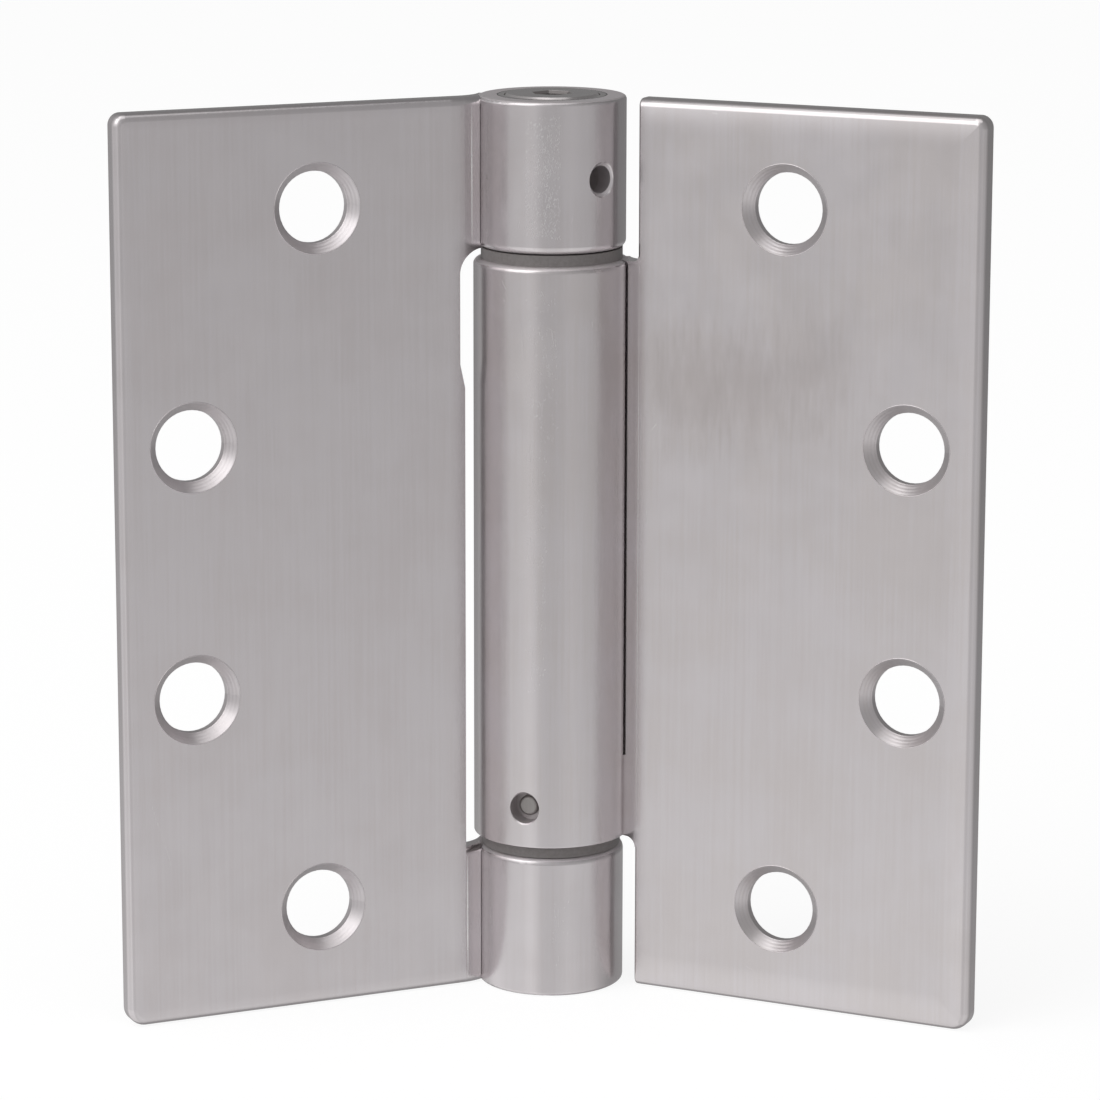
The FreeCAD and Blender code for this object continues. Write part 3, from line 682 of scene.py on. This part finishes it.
def new_tree(name: str, inputs: dict[str, tuple[str, Any]]) -> tuple[Any, Any, Any]:
    """Starts a Geometry Nodes tree with named inputs.

    Args:
        name: Name of the tree.
        inputs: Input name to its socket type and default.

    Returns:
        The tree, its input node and its output node.
    """
    tree = bpy.data.node_groups.new(name, "GeometryNodeTree")
    tree.interface.new_socket("Geometry", in_out="INPUT", socket_type="NodeSocketGeometry")
    for label, (kind, value) in inputs.items():
        socket = tree.interface.new_socket(label, in_out="INPUT", socket_type=kind)
        if value is not None:
            socket.default_value = value
    tree.interface.new_socket("Geometry", in_out="OUTPUT", socket_type="NodeSocketGeometry")
    return tree, tree.nodes.new("NodeGroupInput"), tree.nodes.new("NodeGroupOutput")


def finish_tree(tree: Any, out: Any, geometry: Any, material: bpy.types.Material) -> None:
    """Ends a tree in real, smooth geometry with its material.

    Args:
        tree: The tree.
        out: Its output node.
        geometry: Socket of the geometry to hand out.
        material: Material of the result.
    """
    smooth = add_node(tree, "GeometryNodeSetShadeSmooth", None, {0: geometry})
    real = add_node(tree, "GeometryNodeRealizeInstances", None, {0: smooth.outputs[0]})
    dressed = add_node(tree, "GeometryNodeSetMaterial", None, {"Geometry": real.outputs[0], "Material": material})
    tree.links.new(dressed.outputs[0], out.inputs[0])


def run_tree(name: str, base: Any, tree: Any, values: dict[str, Any], body: Optional[Body]) -> bpy.types.Object:
    """Runs a tree on base data and keeps the result as a plain mesh that rides on a body.

    Args:
        name: Name of the finished piece.
        base: Mesh or curve data that the tree starts from.
        tree: The Geometry Nodes tree.
        values: Values for the tree's named inputs.
        body: Body that carries the piece, or None for a piece that rides on no body.

    Returns:
        The finished piece, at the origin.
    """
    carrier = bpy.data.objects.new(name + "_base", base)
    bpy.context.collection.objects.link(carrier)
    modifier = carrier.modifiers.new("Nodes", "NODES")
    modifier.node_group = tree
    for item in tree.interface.items_tree:
        if item.in_out == "INPUT" and item.name in values:
            modifier[item.identifier] = values[item.name]
    graph = bpy.context.evaluated_depsgraph_get()
    graph.update()
    mesh = bpy.data.meshes.new_from_object(carrier.evaluated_get(graph))
    mesh.name = name
    bpy.data.objects.remove(carrier)
    piece = bpy.data.objects.new(name, mesh)
    bpy.context.collection.objects.link(piece)
    if body is not None:
        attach(piece, body.value)
    LOG.info("%s has %d faces", name, len(mesh.polygons))
    return piece


def point_mesh(name: str, points: Iterable[Vector]) -> bpy.types.Mesh:
    """Mesh of loose points.

    Args:
        name: Name of the mesh.
        points: Places in metres.

    Returns:
        The mesh.
    """
    mesh = bpy.data.meshes.new(name)
    mesh.from_pydata([tuple(point) for point in points], [], [])
    return mesh


def poly_curve(name: str, lines: Iterable[Sequence[Vector]]) -> bpy.types.Curve:
    """Curve data with one spline of straight lines for each row of points.

    Args:
        name: Name of the curve.
        lines: Points of each line, in metres.

    Returns:
        The curve.
    """
    curve = bpy.data.curves.new(name, "CURVE")
    curve.dimensions = "3D"
    for points in lines:
        spline = curve.splines.new("POLY")
        spline.points.add(len(points) - 1)
        for slot, point in zip(spline.points, points):
            slot.co = (*point, 1.0)
    return curve


@dataclass
class RimBeads:
    """Thin burr that the countersink cutter throws up round each screw hole of a leaf."""

    side: Side
    body: Body
    finish: bpy.types.Material
    bead_mm: float = 0.06
    around: int = 72
    section: int = 8

    def tree(self) -> Any:
        """Tree that puts one bead round each point.

        Returns:
            The Geometry Nodes tree.
        """
        tree, given, out = new_tree("Countersink_beads_" + self.body.value, {
            "Rim radius": ("NodeSocketFloat", COUNTERSINK_RADIUS * MM),
            "Bead radius": ("NodeSocketFloat", self.bead_mm * MM),
            "Face turn": ("NodeSocketRotation", None)})
        rim = add_node(tree, "GeometryNodeCurvePrimitiveCircle", None,
                       {"Resolution": self.around, "Radius": given.outputs["Rim radius"]})
        section = add_node(tree, "GeometryNodeCurvePrimitiveCircle", None,
                           {"Resolution": self.section, "Radius": given.outputs["Bead radius"]})
        bead = add_node(tree, "GeometryNodeCurveToMesh", None,
                        {"Curve": rim.outputs[0], "Profile Curve": section.outputs[0]})
        placed = add_node(tree, "GeometryNodeInstanceOnPoints", None, {
            "Points": given.outputs["Geometry"], "Instance": bead.outputs[0],
            "Rotation": given.outputs["Face turn"]})
        finish_tree(tree, out, placed.outputs[0], self.finish)
        return tree

    def build(self) -> None:
        """Builds the beads of one leaf."""
        places = [on_leaf(self.side, along, LEAF_HEIGHT / 2 + way * rise)
                  for along, rise in HOLES for way in (-1, 1)]
        face_turn = 0.0 if self.side is Side.FRAME else self.side.value
        name = self.body.value + "_countersink_beads"
        run_tree(name, point_mesh(name, places), self.tree(),
                 {"Face turn": (math.radians(90), 0.0, math.radians(face_turn))}, self.body)


@dataclass
class Scratches:
    """Scratches, nicks and seams' burrs, as thin beads that taper to their ends."""

    name: str
    body: Body
    lines: list[list[Vector]]
    finish: bpy.types.Material
    width_mm: float = 0.13
    section: int = 6
    tip: float = 0.15

    def tree(self) -> Any:
        """Tree that gives each line a thin, tapering bead.

        Returns:
            The Geometry Nodes tree.
        """
        tree, given, out = new_tree("Scratch_" + self.name, {
            "Burr width": ("NodeSocketFloat", self.width_mm * MM)})
        along = add_node(tree, "GeometryNodeSplineParameter").outputs["Factor"]
        from_end = step(tree, "SUBTRACT", 1.0, step(tree, "ABSOLUTE", step(
            tree, "SUBTRACT", step(tree, "MULTIPLY", along, 2.0), 1.0)))
        taper = step(tree, "MAXIMUM", step(tree, "POWER", from_end, 0.5), self.tip)
        section = add_node(tree, "GeometryNodeCurvePrimitiveCircle", None, {
            "Resolution": self.section, "Radius": step(tree, "MULTIPLY", given.outputs["Burr width"], 0.5)})
        burr = add_node(tree, "GeometryNodeCurveToMesh", None, {
            "Curve": given.outputs["Geometry"], "Profile Curve": section.outputs[0], "Scale": taper,
            "Fill Caps": True})
        finish_tree(tree, out, burr.outputs[0], self.finish)
        return tree

    def build(self) -> None:
        """Builds the burrs."""
        run_tree(self.name, poly_curve(self.name, self.lines), self.tree(), {}, self.body)


@dataclass
class KnuckleChatter:
    """Fine marks that the rolling die left in a patch of a knuckle; their brightness is painted highlight in the burr
    colour.
    """

    name: str
    body: Body
    finish: bpy.types.Material
    radius: float
    angles: tuple[float, float]
    rises: tuple[float, float]
    count: int
    seed: int
    mark_mm: tuple[float, float] = (0.05, 0.45)
    lean: float = 0.7
    least_size: float = 0.4
    flatness: float = 0.12

    def tree(self) -> Any:
        """Tree that strews small slanted marks over the patch.

        Returns:
            The Geometry Nodes tree.
        """
        tree, given, out = new_tree("Chatter_" + self.name, {
            "Count": ("NodeSocketInt", self.count), "Seed": ("NodeSocketInt", self.seed),
            "Radius": ("NodeSocketFloat", self.radius * MM), "Mark width": ("NodeSocketFloat", self.mark_mm[0] * MM)})
        points = add_node(tree, "GeometryNodePoints", None, {"Count": given.outputs["Count"]})
        angle = self.random(tree, given, 1, *(math.radians(value) for value in self.angles))
        rise = self.random(tree, given, 2, *(value * MM for value in self.rises))
        across = step(tree, "MULTIPLY", step(tree, "COSINE", angle), given.outputs["Radius"])
        depth = step(tree, "MULTIPLY", step(tree, "SINE", angle), given.outputs["Radius"])
        spot = add_node(tree, "ShaderNodeCombineXYZ", None, {"X": across, "Y": depth, "Z": rise})
        moved = add_node(tree, "GeometryNodeSetPosition", None, {"Geometry": points.outputs[0],
                                                                 "Position": spot.outputs[0]})
        length = self.mark_mm[1] / self.mark_mm[0]
        mark = add_node(tree, "GeometryNodeMeshIcoSphere", None, {
            "Radius": step(tree, "MULTIPLY", given.outputs["Mark width"], 0.5), "Subdivisions": 2})
        lean = self.random(tree, given, 3, -self.lean, self.lean)
        stand = add_node(tree, "ShaderNodeCombineXYZ", None, {"X": lean, "Z": angle})
        size = self.random(tree, given, 4, self.least_size, 1.0)
        stretch = add_node(tree, "ShaderNodeCombineXYZ", None, {
            "X": self.flatness, "Y": size, "Z": step(tree, "MULTIPLY", size, length)})
        placed = add_node(tree, "GeometryNodeInstanceOnPoints", None, {
            "Points": moved.outputs[0], "Instance": mark.outputs[0], "Rotation": stand.outputs[0],
            "Scale": stretch.outputs[0]})
        finish_tree(tree, out, placed.outputs[0], self.finish)
        return tree

    @staticmethod
    def random(tree: Any, given: Any, number: int, low: float, high: float) -> Any:
        """Random value for each point.

        Args:
            tree: The tree.
            given: Its input node.
            number: Number that keeps this draw apart from the others.
            low: Least value.
            high: Greatest value.

        Returns:
            The value's socket.
        """
        seed = step(tree, "ADD", given.outputs["Seed"], float(number))
        draw = add_node(tree, "FunctionNodeRandomValue", {"data_type": "FLOAT"}, {"Seed": seed})
        return step(tree, "MULTIPLY_ADD", draw.outputs["Value"], high - low, low)

    def build(self) -> None:
        """Builds the marks."""
        run_tree(self.name, point_mesh(self.name, [Vector()]), self.tree(), {}, self.body)


@dataclass
class TorsionSpring:
    """Left-hand coil of round wire with a leg across each end.

    The coil lies between the door leaf and the frame leaf on no body, and its upper leg turns with the plug's slot.
    """

    finish: bpy.types.Material
    coil_radius: float = 5.9
    wire_radius: float = 1.3
    foot: float = 34.51
    head: float = 82.49
    turns: int = 18
    steps: int = 40
    section: int = 14

    def tree(self, name: str, with_coil: bool) -> Any:
        """Tree that gives a leg its wire, and winds the coil on it where it is asked to.

        Args:
            name: Name of the tree.
            with_coil: Whether the coil is wound.

        Returns:
            The Geometry Nodes tree.
        """
        tree, given, out = new_tree(name, {
            "Coil radius": ("NodeSocketFloat", self.coil_radius * MM),
            "Wire radius": ("NodeSocketFloat", self.wire_radius * MM),
            "Rise": ("NodeSocketFloat", (self.head - self.foot) * MM),
            "Foot": ("NodeSocketFloat", self.foot * MM),
            "Turn": ("NodeSocketFloat", math.radians(Side.DOOR.value))})
        coil = add_node(tree, "GeometryNodeCurveSpiral", None, {
            "Resolution": self.steps, "Rotations": float(self.turns),
            "Start Radius": given.outputs["Coil radius"], "End Radius": given.outputs["Coil radius"],
            "Height": given.outputs["Rise"], "Reverse": True})
        turn = add_node(tree, "ShaderNodeCombineXYZ", None, {"Z": given.outputs["Turn"]})
        lift = add_node(tree, "ShaderNodeCombineXYZ", None, {"Z": given.outputs["Foot"]})
        placed = add_node(tree, "GeometryNodeTransform", None, {
            "Geometry": coil.outputs[0], "Translation": lift.outputs[0], "Rotation": turn.outputs[0]})
        joined = add_node(tree, "GeometryNodeJoinGeometry")
        if with_coil:
            tree.links.new(placed.outputs[0], joined.inputs[0])
        tree.links.new(given.outputs["Geometry"], joined.inputs[0])
        section = add_node(tree, "GeometryNodeCurvePrimitiveCircle", None,
                           {"Resolution": self.section, "Radius": given.outputs["Wire radius"]})
        wire = add_node(tree, "GeometryNodeCurveToMesh", None, {
            "Curve": joined.outputs[0], "Profile Curve": section.outputs[0], "Fill Caps": True})
        finish_tree(tree, out, wire.outputs[0], self.finish)
        return tree

    def leg(self, name: str, rise: float) -> bpy.types.Curve:
        """Line of a straight leg across the coil.

        Args:
            name: Name of the curve.
            rise: Height of the leg in millimetres.

        Returns:
            The curve.
        """
        turn = math.radians(Side.DOOR.value)
        way = Vector((math.cos(turn), math.sin(turn), 0.0))
        near, far = self.wire_radius - self.coil_radius, self.wire_radius + self.coil_radius
        return poly_curve(name, [[(way * reach + Vector((0.0, 0.0, rise))) * MM for reach in (near, far)]])

    def build(self) -> None:
        """Builds the coil with its lower leg, and the upper leg that the plug carries."""
        coil = run_tree("torsion_spring_wire", self.leg("spring_lower_leg", self.foot),
                        self.tree("Torsion_spring", True), {}, None)
        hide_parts("torsion_spring")
        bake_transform(coil)
        upper = run_tree("torsion_spring_upper_leg", self.leg("spring_upper_leg", self.head),
                         self.tree("Torsion_spring_leg", False), {}, Body.PLUG)
        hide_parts("torsion_spring")


# The hinge

@dataclass
class CarriedNodes:
    """The frame's own pieces, which keep their shapes and take their finishes."""

    finishes: dict[str, bpy.types.Material]

    def dress(self) -> None:
        """Gives each carried piece the material of its finish."""
        for node, material in self.finishes.items():
            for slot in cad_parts[node].material_slots:
                slot.material = material
            LOG.info("%s wears %s", node, material.name)


@dataclass
class FrameLeafMarks:
    """Marks of use and making on the frame leaf and its two knuckles."""

    finish: bpy.types.Material
    neck_along: tuple[float, float] = (10.5, 11.3)

    def dotted_scratch(self) -> list[list[Vector]]:
        """Row of short dashes low on the leaf."""
        first, last, dashes = (53.8, 28.3), (51.3, 20.2), 11
        lines = []
        for i in range(dashes):
            ends = [[a + (b - a) * (i + part) / dashes for a, b in zip(first, last)] for part in (0.0, 0.45)]
            lines.append([on_leaf(Side.FRAME, along, rise) for along, rise in ends])
        return lines

    def neck_burrs(self) -> list[list[Vector]]:
        """Burrs down the necks of the two knuckles."""
        upper, lower = self.neck_along
        return [[on_leaf(Side.FRAME, upper, rise) for rise in (96.0, 99.0, 105.0, 113.2)],
                [on_leaf(Side.FRAME, lower, rise) for rise in (0.8, 6.0, 12.0, 17.0)]]

    def knuckle_scratches(self) -> list[list[Vector]]:
        """Short scratches on the two knuckles, as angle and height."""
        lines = [[(-141.0, 98.6), (-139.4, 99.6)], [(-99.5, 99.4), (-97.9, 100.2)], [(-69.5, 12.6), (-66.0, 12.8)],
                 [(-72.5, 10.9), (-70.0, 10.8)], [(-108.0, 9.2), (-108.4, 11.5)], [(-108.3, 4.6), (-108.2, 5.4)]]
        return [[on_knuckle(KNUCKLE_RADIUS, angle, rise) for angle, rise in line] for line in lines]

    def build(self) -> None:
        """Builds the marks."""
        Scratches("frame_leaf_scratches", Body.FRAME, self.dotted_scratch() + self.knuckle_scratches(),
                  self.finish).build()
        # Neck burrs: real beads in the bright burr colour, which paints the highlight along the neck's edge
        Scratches("frame_leaf_neck_burrs", Body.FRAME, self.neck_burrs(), self.finish, width_mm=0.28).build()
        KnuckleChatter("top_knuckle_chatter", Body.FRAME, self.finish, KNUCKLE_RADIUS, (-135.0, -108.0),
                       (97.5, 112.5), 700, 11).build()
        KnuckleChatter("bottom_knuckle_chatter", Body.FRAME, self.finish, KNUCKLE_RADIUS, (-113.0, -100.0),
                       (4.0, 13.0), 14, 12).build()


@dataclass
class DoorLeafMarks:
    """Marks of use and making on the door leaf and its barrel."""

    finish: bpy.types.Material
    neck_along: float = 11.7

    def nicks(self) -> list[list[Vector]]:
        """Nicks and fine scratches of the flat leaf, as distance along it and height."""
        lines = [[(24.2, 24.3), (24.8, 23.6)], [(24.9, 23.4), (25.3, 22.4)], [(27.2, 4.6), (28.1, 4.2)],
                 [(14.6, 90.4), (15.6, 88.6)], [(13.1, 86.8), (13.6, 86.2)], [(13.4, 81.0), (14.3, 80.0)],
                 [(13.2, 78.2), (14.4, 79.2)], [(13.0, 75.4), (14.0, 74.8)], [(13.5, 72.8), (14.2, 73.6)],
                 [(12.8, 63.0), (13.0, 60.8)], [(21.4, 113.0), (22.1, 112.9)]]
        return [[on_leaf(Side.DOOR, along, rise) for along, rise in line] for line in lines]

    def barrel_scratches(self) -> list[list[Vector]]:
        """Scratches of the barrel, as angle and height."""
        lines = [[(-153.0, 92.0), (-149.5, 91.0)], [(-152.0, 90.6), (-151.0, 89.4)], [(-139.0, 88.8), (-136.0, 86.0)],
                 [(-136.0, 86.0), (-134.0, 82.4)], [(-118.5, 86.6), (-114.0, 86.2), (-112.5, 83.4)],
                 [(-127.0, 85.4), (-126.6, 83.2)], [(-141.0, 80.6), (-137.0, 79.6)], [(-134.0, 78.4), (-129.0, 77.8)],
                 [(-122.0, 75.2), (-120.0, 77.6)], [(-131.0, 72.0), (-129.2, 69.4)], [(-128.6, 68.6), (-126.6, 65.4)],
                 [(-125.0, 70.2), (-124.4, 66.0)], [(-130.0, 60.0), (-126.0, 55.0)], [(-128.0, 46.0), (-127.6, 40.0)],
                 [(-84.0, 87.0), (-83.0, 86.4)], [(-67.0, 86.5), (-64.0, 86.9)]]
        return [[on_knuckle(BARREL_RADIUS, angle, rise) for angle, rise in line] for line in lines]

    def build(self) -> None:
        """Builds the marks."""
        Scratches("door_leaf_scratches", Body.DOOR, self.nicks() + self.barrel_scratches(), self.finish).build()
        # Neck burr: a real bead in the bright burr colour, which paints the highlight along the neck's edge
        neck = [on_leaf(Side.DOOR, self.neck_along, rise) for rise in (20.5, 45.0, 70.0, 93.4)]
        Scratches("door_leaf_neck_burr", Body.DOOR, [neck], self.finish, width_mm=0.10).build()
        KnuckleChatter("barrel_upper_chatter", Body.DOOR, self.finish, BARREL_RADIUS, (-133.0, -110.0),
                       (72.0, 91.0), 200, 21).build()
        KnuckleChatter("barrel_lower_chatter", Body.DOOR, self.finish, BARREL_RADIUS, (-134.0, -118.0),
                       (40.0, 71.0), 160, 22).build()


@dataclass
class Studio:
    """Plain pale floor, soft light and the camera at the photograph's angle."""

    camera_place_mm: tuple[float, float, float] = (-234.57, -518.77, 178.41)
    camera_pitch: float = 12.105
    camera_turn: float = -24.315
    camera_roll: float = 0.102
    lens: float = 149.99
    sensor: float = 36.0
    floor_half: float = 4.0
    floor_drop_mm: float = 0.05

    # Shades by angle round the hinge: 0 is towards the camera, plus is to its right
    AROUND = ((-180, 0.30), (-150, 0.36), (-125, 0.54), (-100, 0.76), (-70, 0.70), (-50, 0.70), (-30, 0.79),
              (-12, 0.59), (8, 0.60), (30, 0.66), (50, 0.61), (70, 0.59), (88, 0.43), (110, 0.31), (140, 0.31),
              (180, 0.30))
    OVERHEAD = ((-180, 0.24), (-120, 0.45), (-75, 0.95), (-45, 1.05), (-15, 0.62), (5, 0.50), (35, 0.42), (60, 0.36),
                (110, 0.24), (180, 0.24))
    # Brightness by the sine of the height angle, from straight down to level
    BY_HEIGHT = ((0.0, 0.62), (0.62, 0.66), (0.70, 0.64), (0.775, 0.50), (0.83, 0.42), (1.0, 0.42))
    BY_HEIGHT_FULL = 0.52
    SKY_FROM, SKY_TO = -0.06, 0.20
    FLOOR_GREY, FLOOR_GLOW, UNSEEN_GREY = 0.22, 0.86, 0.6
    # Name, angle from the camera, angle over the floor, distance, side and power
    LAMPS = (("left_softbox", -52.0, 40.0, 1.2, 0.9, 2.0), ("top_softbox", 0.0, 80.0, 1.2, 0.9, 1.5))

    def camera(self) -> None:
        """Stands the camera where the photograph was taken."""
        data = bpy.data.cameras.new("Camera")
        data.sensor_fit = "HORIZONTAL"
        data.sensor_width = self.sensor
        data.lens = self.lens
        camera = bpy.data.objects.new("Camera", data)
        camera.location = Vector(self.camera_place_mm) * MM
        facing = Euler((math.radians(90.0 - self.camera_pitch), 0.0, math.radians(self.camera_turn))).to_matrix()
        rolled = facing @ Matrix.Rotation(math.radians(self.camera_roll), 3, "Z")
        camera.rotation_euler = rolled.to_euler()
        bpy.context.collection.objects.link(camera)
        bpy.context.scene.camera = camera

    def floor(self) -> None:
        """Lays a pale floor that keeps a faint shadow."""
        half = self.floor_half
        level = -self.floor_drop_mm * MM
        mesh = bpy.data.meshes.new("floor")
        mesh.from_pydata([(-half, -half, level), (half, -half, level), (half, half, level), (-half, half, level)],
                         [], [(0, 1, 2, 3)])
        floor = bpy.data.objects.new("floor", mesh)
        bpy.context.collection.objects.link(floor)
        material, tree = new_material("Pale_sweep_floor")
        paper = add_node(tree, "ShaderNodeBsdfDiffuse", None, {"Color": (*[self.FLOOR_GREY] * 3, 1.0)})
        glow = add_node(tree, "ShaderNodeEmission", None, {"Color": (1.0, 1.0, 1.0, 1.0), "Strength": self.FLOOR_GLOW})
        seen = add_node(tree, "ShaderNodeAddShader", None, {0: paper.outputs[0], 1: glow.outputs[0]})
        dim = add_node(tree, "ShaderNodeBsdfDiffuse", None, {"Color": (*[self.UNSEEN_GREY] * 3, 1.0)})
        clear = add_node(tree, "ShaderNodeBsdfTransparent")
        rays = add_node(tree, "ShaderNodeLightPath")
        unseen = add_node(tree, "ShaderNodeMixShader", None, {
            0: rays.outputs["Is Glossy Ray"], 1: dim.outputs[0], 2: clear.outputs[0]})
        sight = step(tree, "MAXIMUM", rays.outputs["Is Camera Ray"], rays.outputs["Is Transmission Ray"])
        mix = add_node(tree, "ShaderNodeMixShader", None, {0: sight, 1: unseen.outputs[0], 2: seen.outputs[0]})
        add_node(tree, "ShaderNodeOutputMaterial", None, {"Surface": mix.outputs[0]})
        mesh.materials.append(material)

    def world(self) -> None:
        """Surrounds the hinge with a pale tent that is white to the camera and shaded in reflections."""
        world = bpy.data.worlds.new("Pale_tent")
        bpy.context.scene.world = world
        world.use_nodes = True
        tree = world.node_tree
        tree.nodes.clear()
        way = add_node(tree, "ShaderNodeTexCoord").outputs["Generated"]
        aligned = add_node(tree, "ShaderNodeVectorRotate", {"rotation_type": "Z_AXIS"}, {
            "Vector": way, "Angle": math.radians(-self.camera_turn)})
        parts = add_node(tree, "ShaderNodeSeparateXYZ", None, {0: aligned.outputs[0]})
        turn = step(tree, "ARCTAN2", parts.outputs["X"], step(tree, "MULTIPLY", parts.outputs["Y"], -1.0))
        place = step(tree, "MULTIPLY_ADD", turn, 0.5 / math.pi, 0.5)
        around, overhead = (grey_ramp(tree, place, [(angle / 360.0 + 0.5, shade) for angle, shade in shades])
                            for shades in (self.AROUND, self.OVERHEAD))
        height = grey_ramp(tree, step(tree, "ADD", parts.outputs["Z"], 1.0), self.BY_HEIGHT)
        low = add_node(tree, "ShaderNodeMix", {"data_type": "RGBA", "blend_type": "MULTIPLY"}, {
            "Factor": 1.0, 6: around, 7: height})
        low = add_node(tree, "ShaderNodeVectorMath", {"operation": "SCALE"}, {
            0: low.outputs[2], "Scale": 1.0 / self.BY_HEIGHT_FULL})
        tent = mixed(tree, eased(tree, parts.outputs["Z"], self.SKY_FROM, self.SKY_TO), low.outputs[0], overhead)
        rays = add_node(tree, "ShaderNodeLightPath")
        sight = step(tree, "MAXIMUM", rays.outputs["Is Camera Ray"], rays.outputs["Is Transmission Ray"])
        colour = mixed(tree, sight, tent, (1.0, 1.0, 1.0, 1.0))
        back = add_node(tree, "ShaderNodeBackground", None, {"Color": colour, "Strength": 1.0})
        add_node(tree, "ShaderNodeOutputWorld", None, {"Surface": back.outputs[0]})

    def lamp(self, name: str, turn: float, rise: float, away: float, side: float, watts: float) -> None:
        """Hangs a soft square lamp that faces the hinge.

        Args:
            name: Name of the lamp.
            turn: Angle from the camera to its right, in degrees.
            rise: Angle over the floor, in degrees.
            away: Distance in metres.
            side: Side of the lamp in metres.
            watts: Power.
        """
        data = bpy.data.lights.new(name, "AREA")
        data.shape = "SQUARE"
        data.size = side
        data.energy = watts
        lamp = bpy.data.objects.new(name, data)
        compass = math.radians(turn + self.camera_turn)
        way = Vector((math.sin(compass) * math.cos(math.radians(rise)),
                      -math.cos(compass) * math.cos(math.radians(rise)), math.sin(math.radians(rise))))
        lamp.location = Vector((0.0, 0.0, LEAF_HEIGHT / 2 * MM)) + way * away
        lamp.rotation_euler = way.to_track_quat("Z", "Y").to_euler()
        bpy.context.collection.objects.link(lamp)

    def build(self) -> None:
        """Sets up the whole studio."""
        self.camera()
        self.floor()
        self.world()
        for lamp in self.LAMPS:
            self.lamp(*lamp)
        bpy.context.scene.view_settings.view_transform = "Standard"


def main() -> None:
    """Dresses the hinge and sets up its studio."""
    logging.basicConfig(level=logging.INFO, format="%(name)s: %(message)s")
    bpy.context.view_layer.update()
    frame_sheet, door_sheet, turned_bar = FRAME_SHEET.build(), DOOR_SHEET.build(), TURNED_BAR.build()
    bronze, washer, burr = SINTERED_BRONZE.build(), DARK_WASHER.build(), GLINTING_BURR.build()
    CarriedNodes({
        "frame_leaf": frame_sheet, "door_leaf": door_sheet, "retaining_bushing": turned_bar,
        "tension_plug": turned_bar, "upper_thrust_washer": washer, "lower_thrust_washer": washer,
        "upper_barrel_bushing": bronze, "lower_barrel_bushing": bronze, "pivot_pin": turned_bar,
        "bottom_plug": turned_bar, "spring_anchor": turned_bar, "anchor_pin": SHADED_DRAWN_PIN.build()}).dress()
    TorsionSpring(SPRING_WIRE.build()).build()
    RimBeads(Side.FRAME, Body.FRAME, frame_sheet).build()
    RimBeads(Side.DOOR, Body.DOOR, door_sheet).build()
    # The marks wear the bright burr colour: real marks with painted highlight
    FrameLeafMarks(burr).build()
    DoorLeafMarks(burr).build()
    Studio().build()


if __name__ == "__main__":
    main()
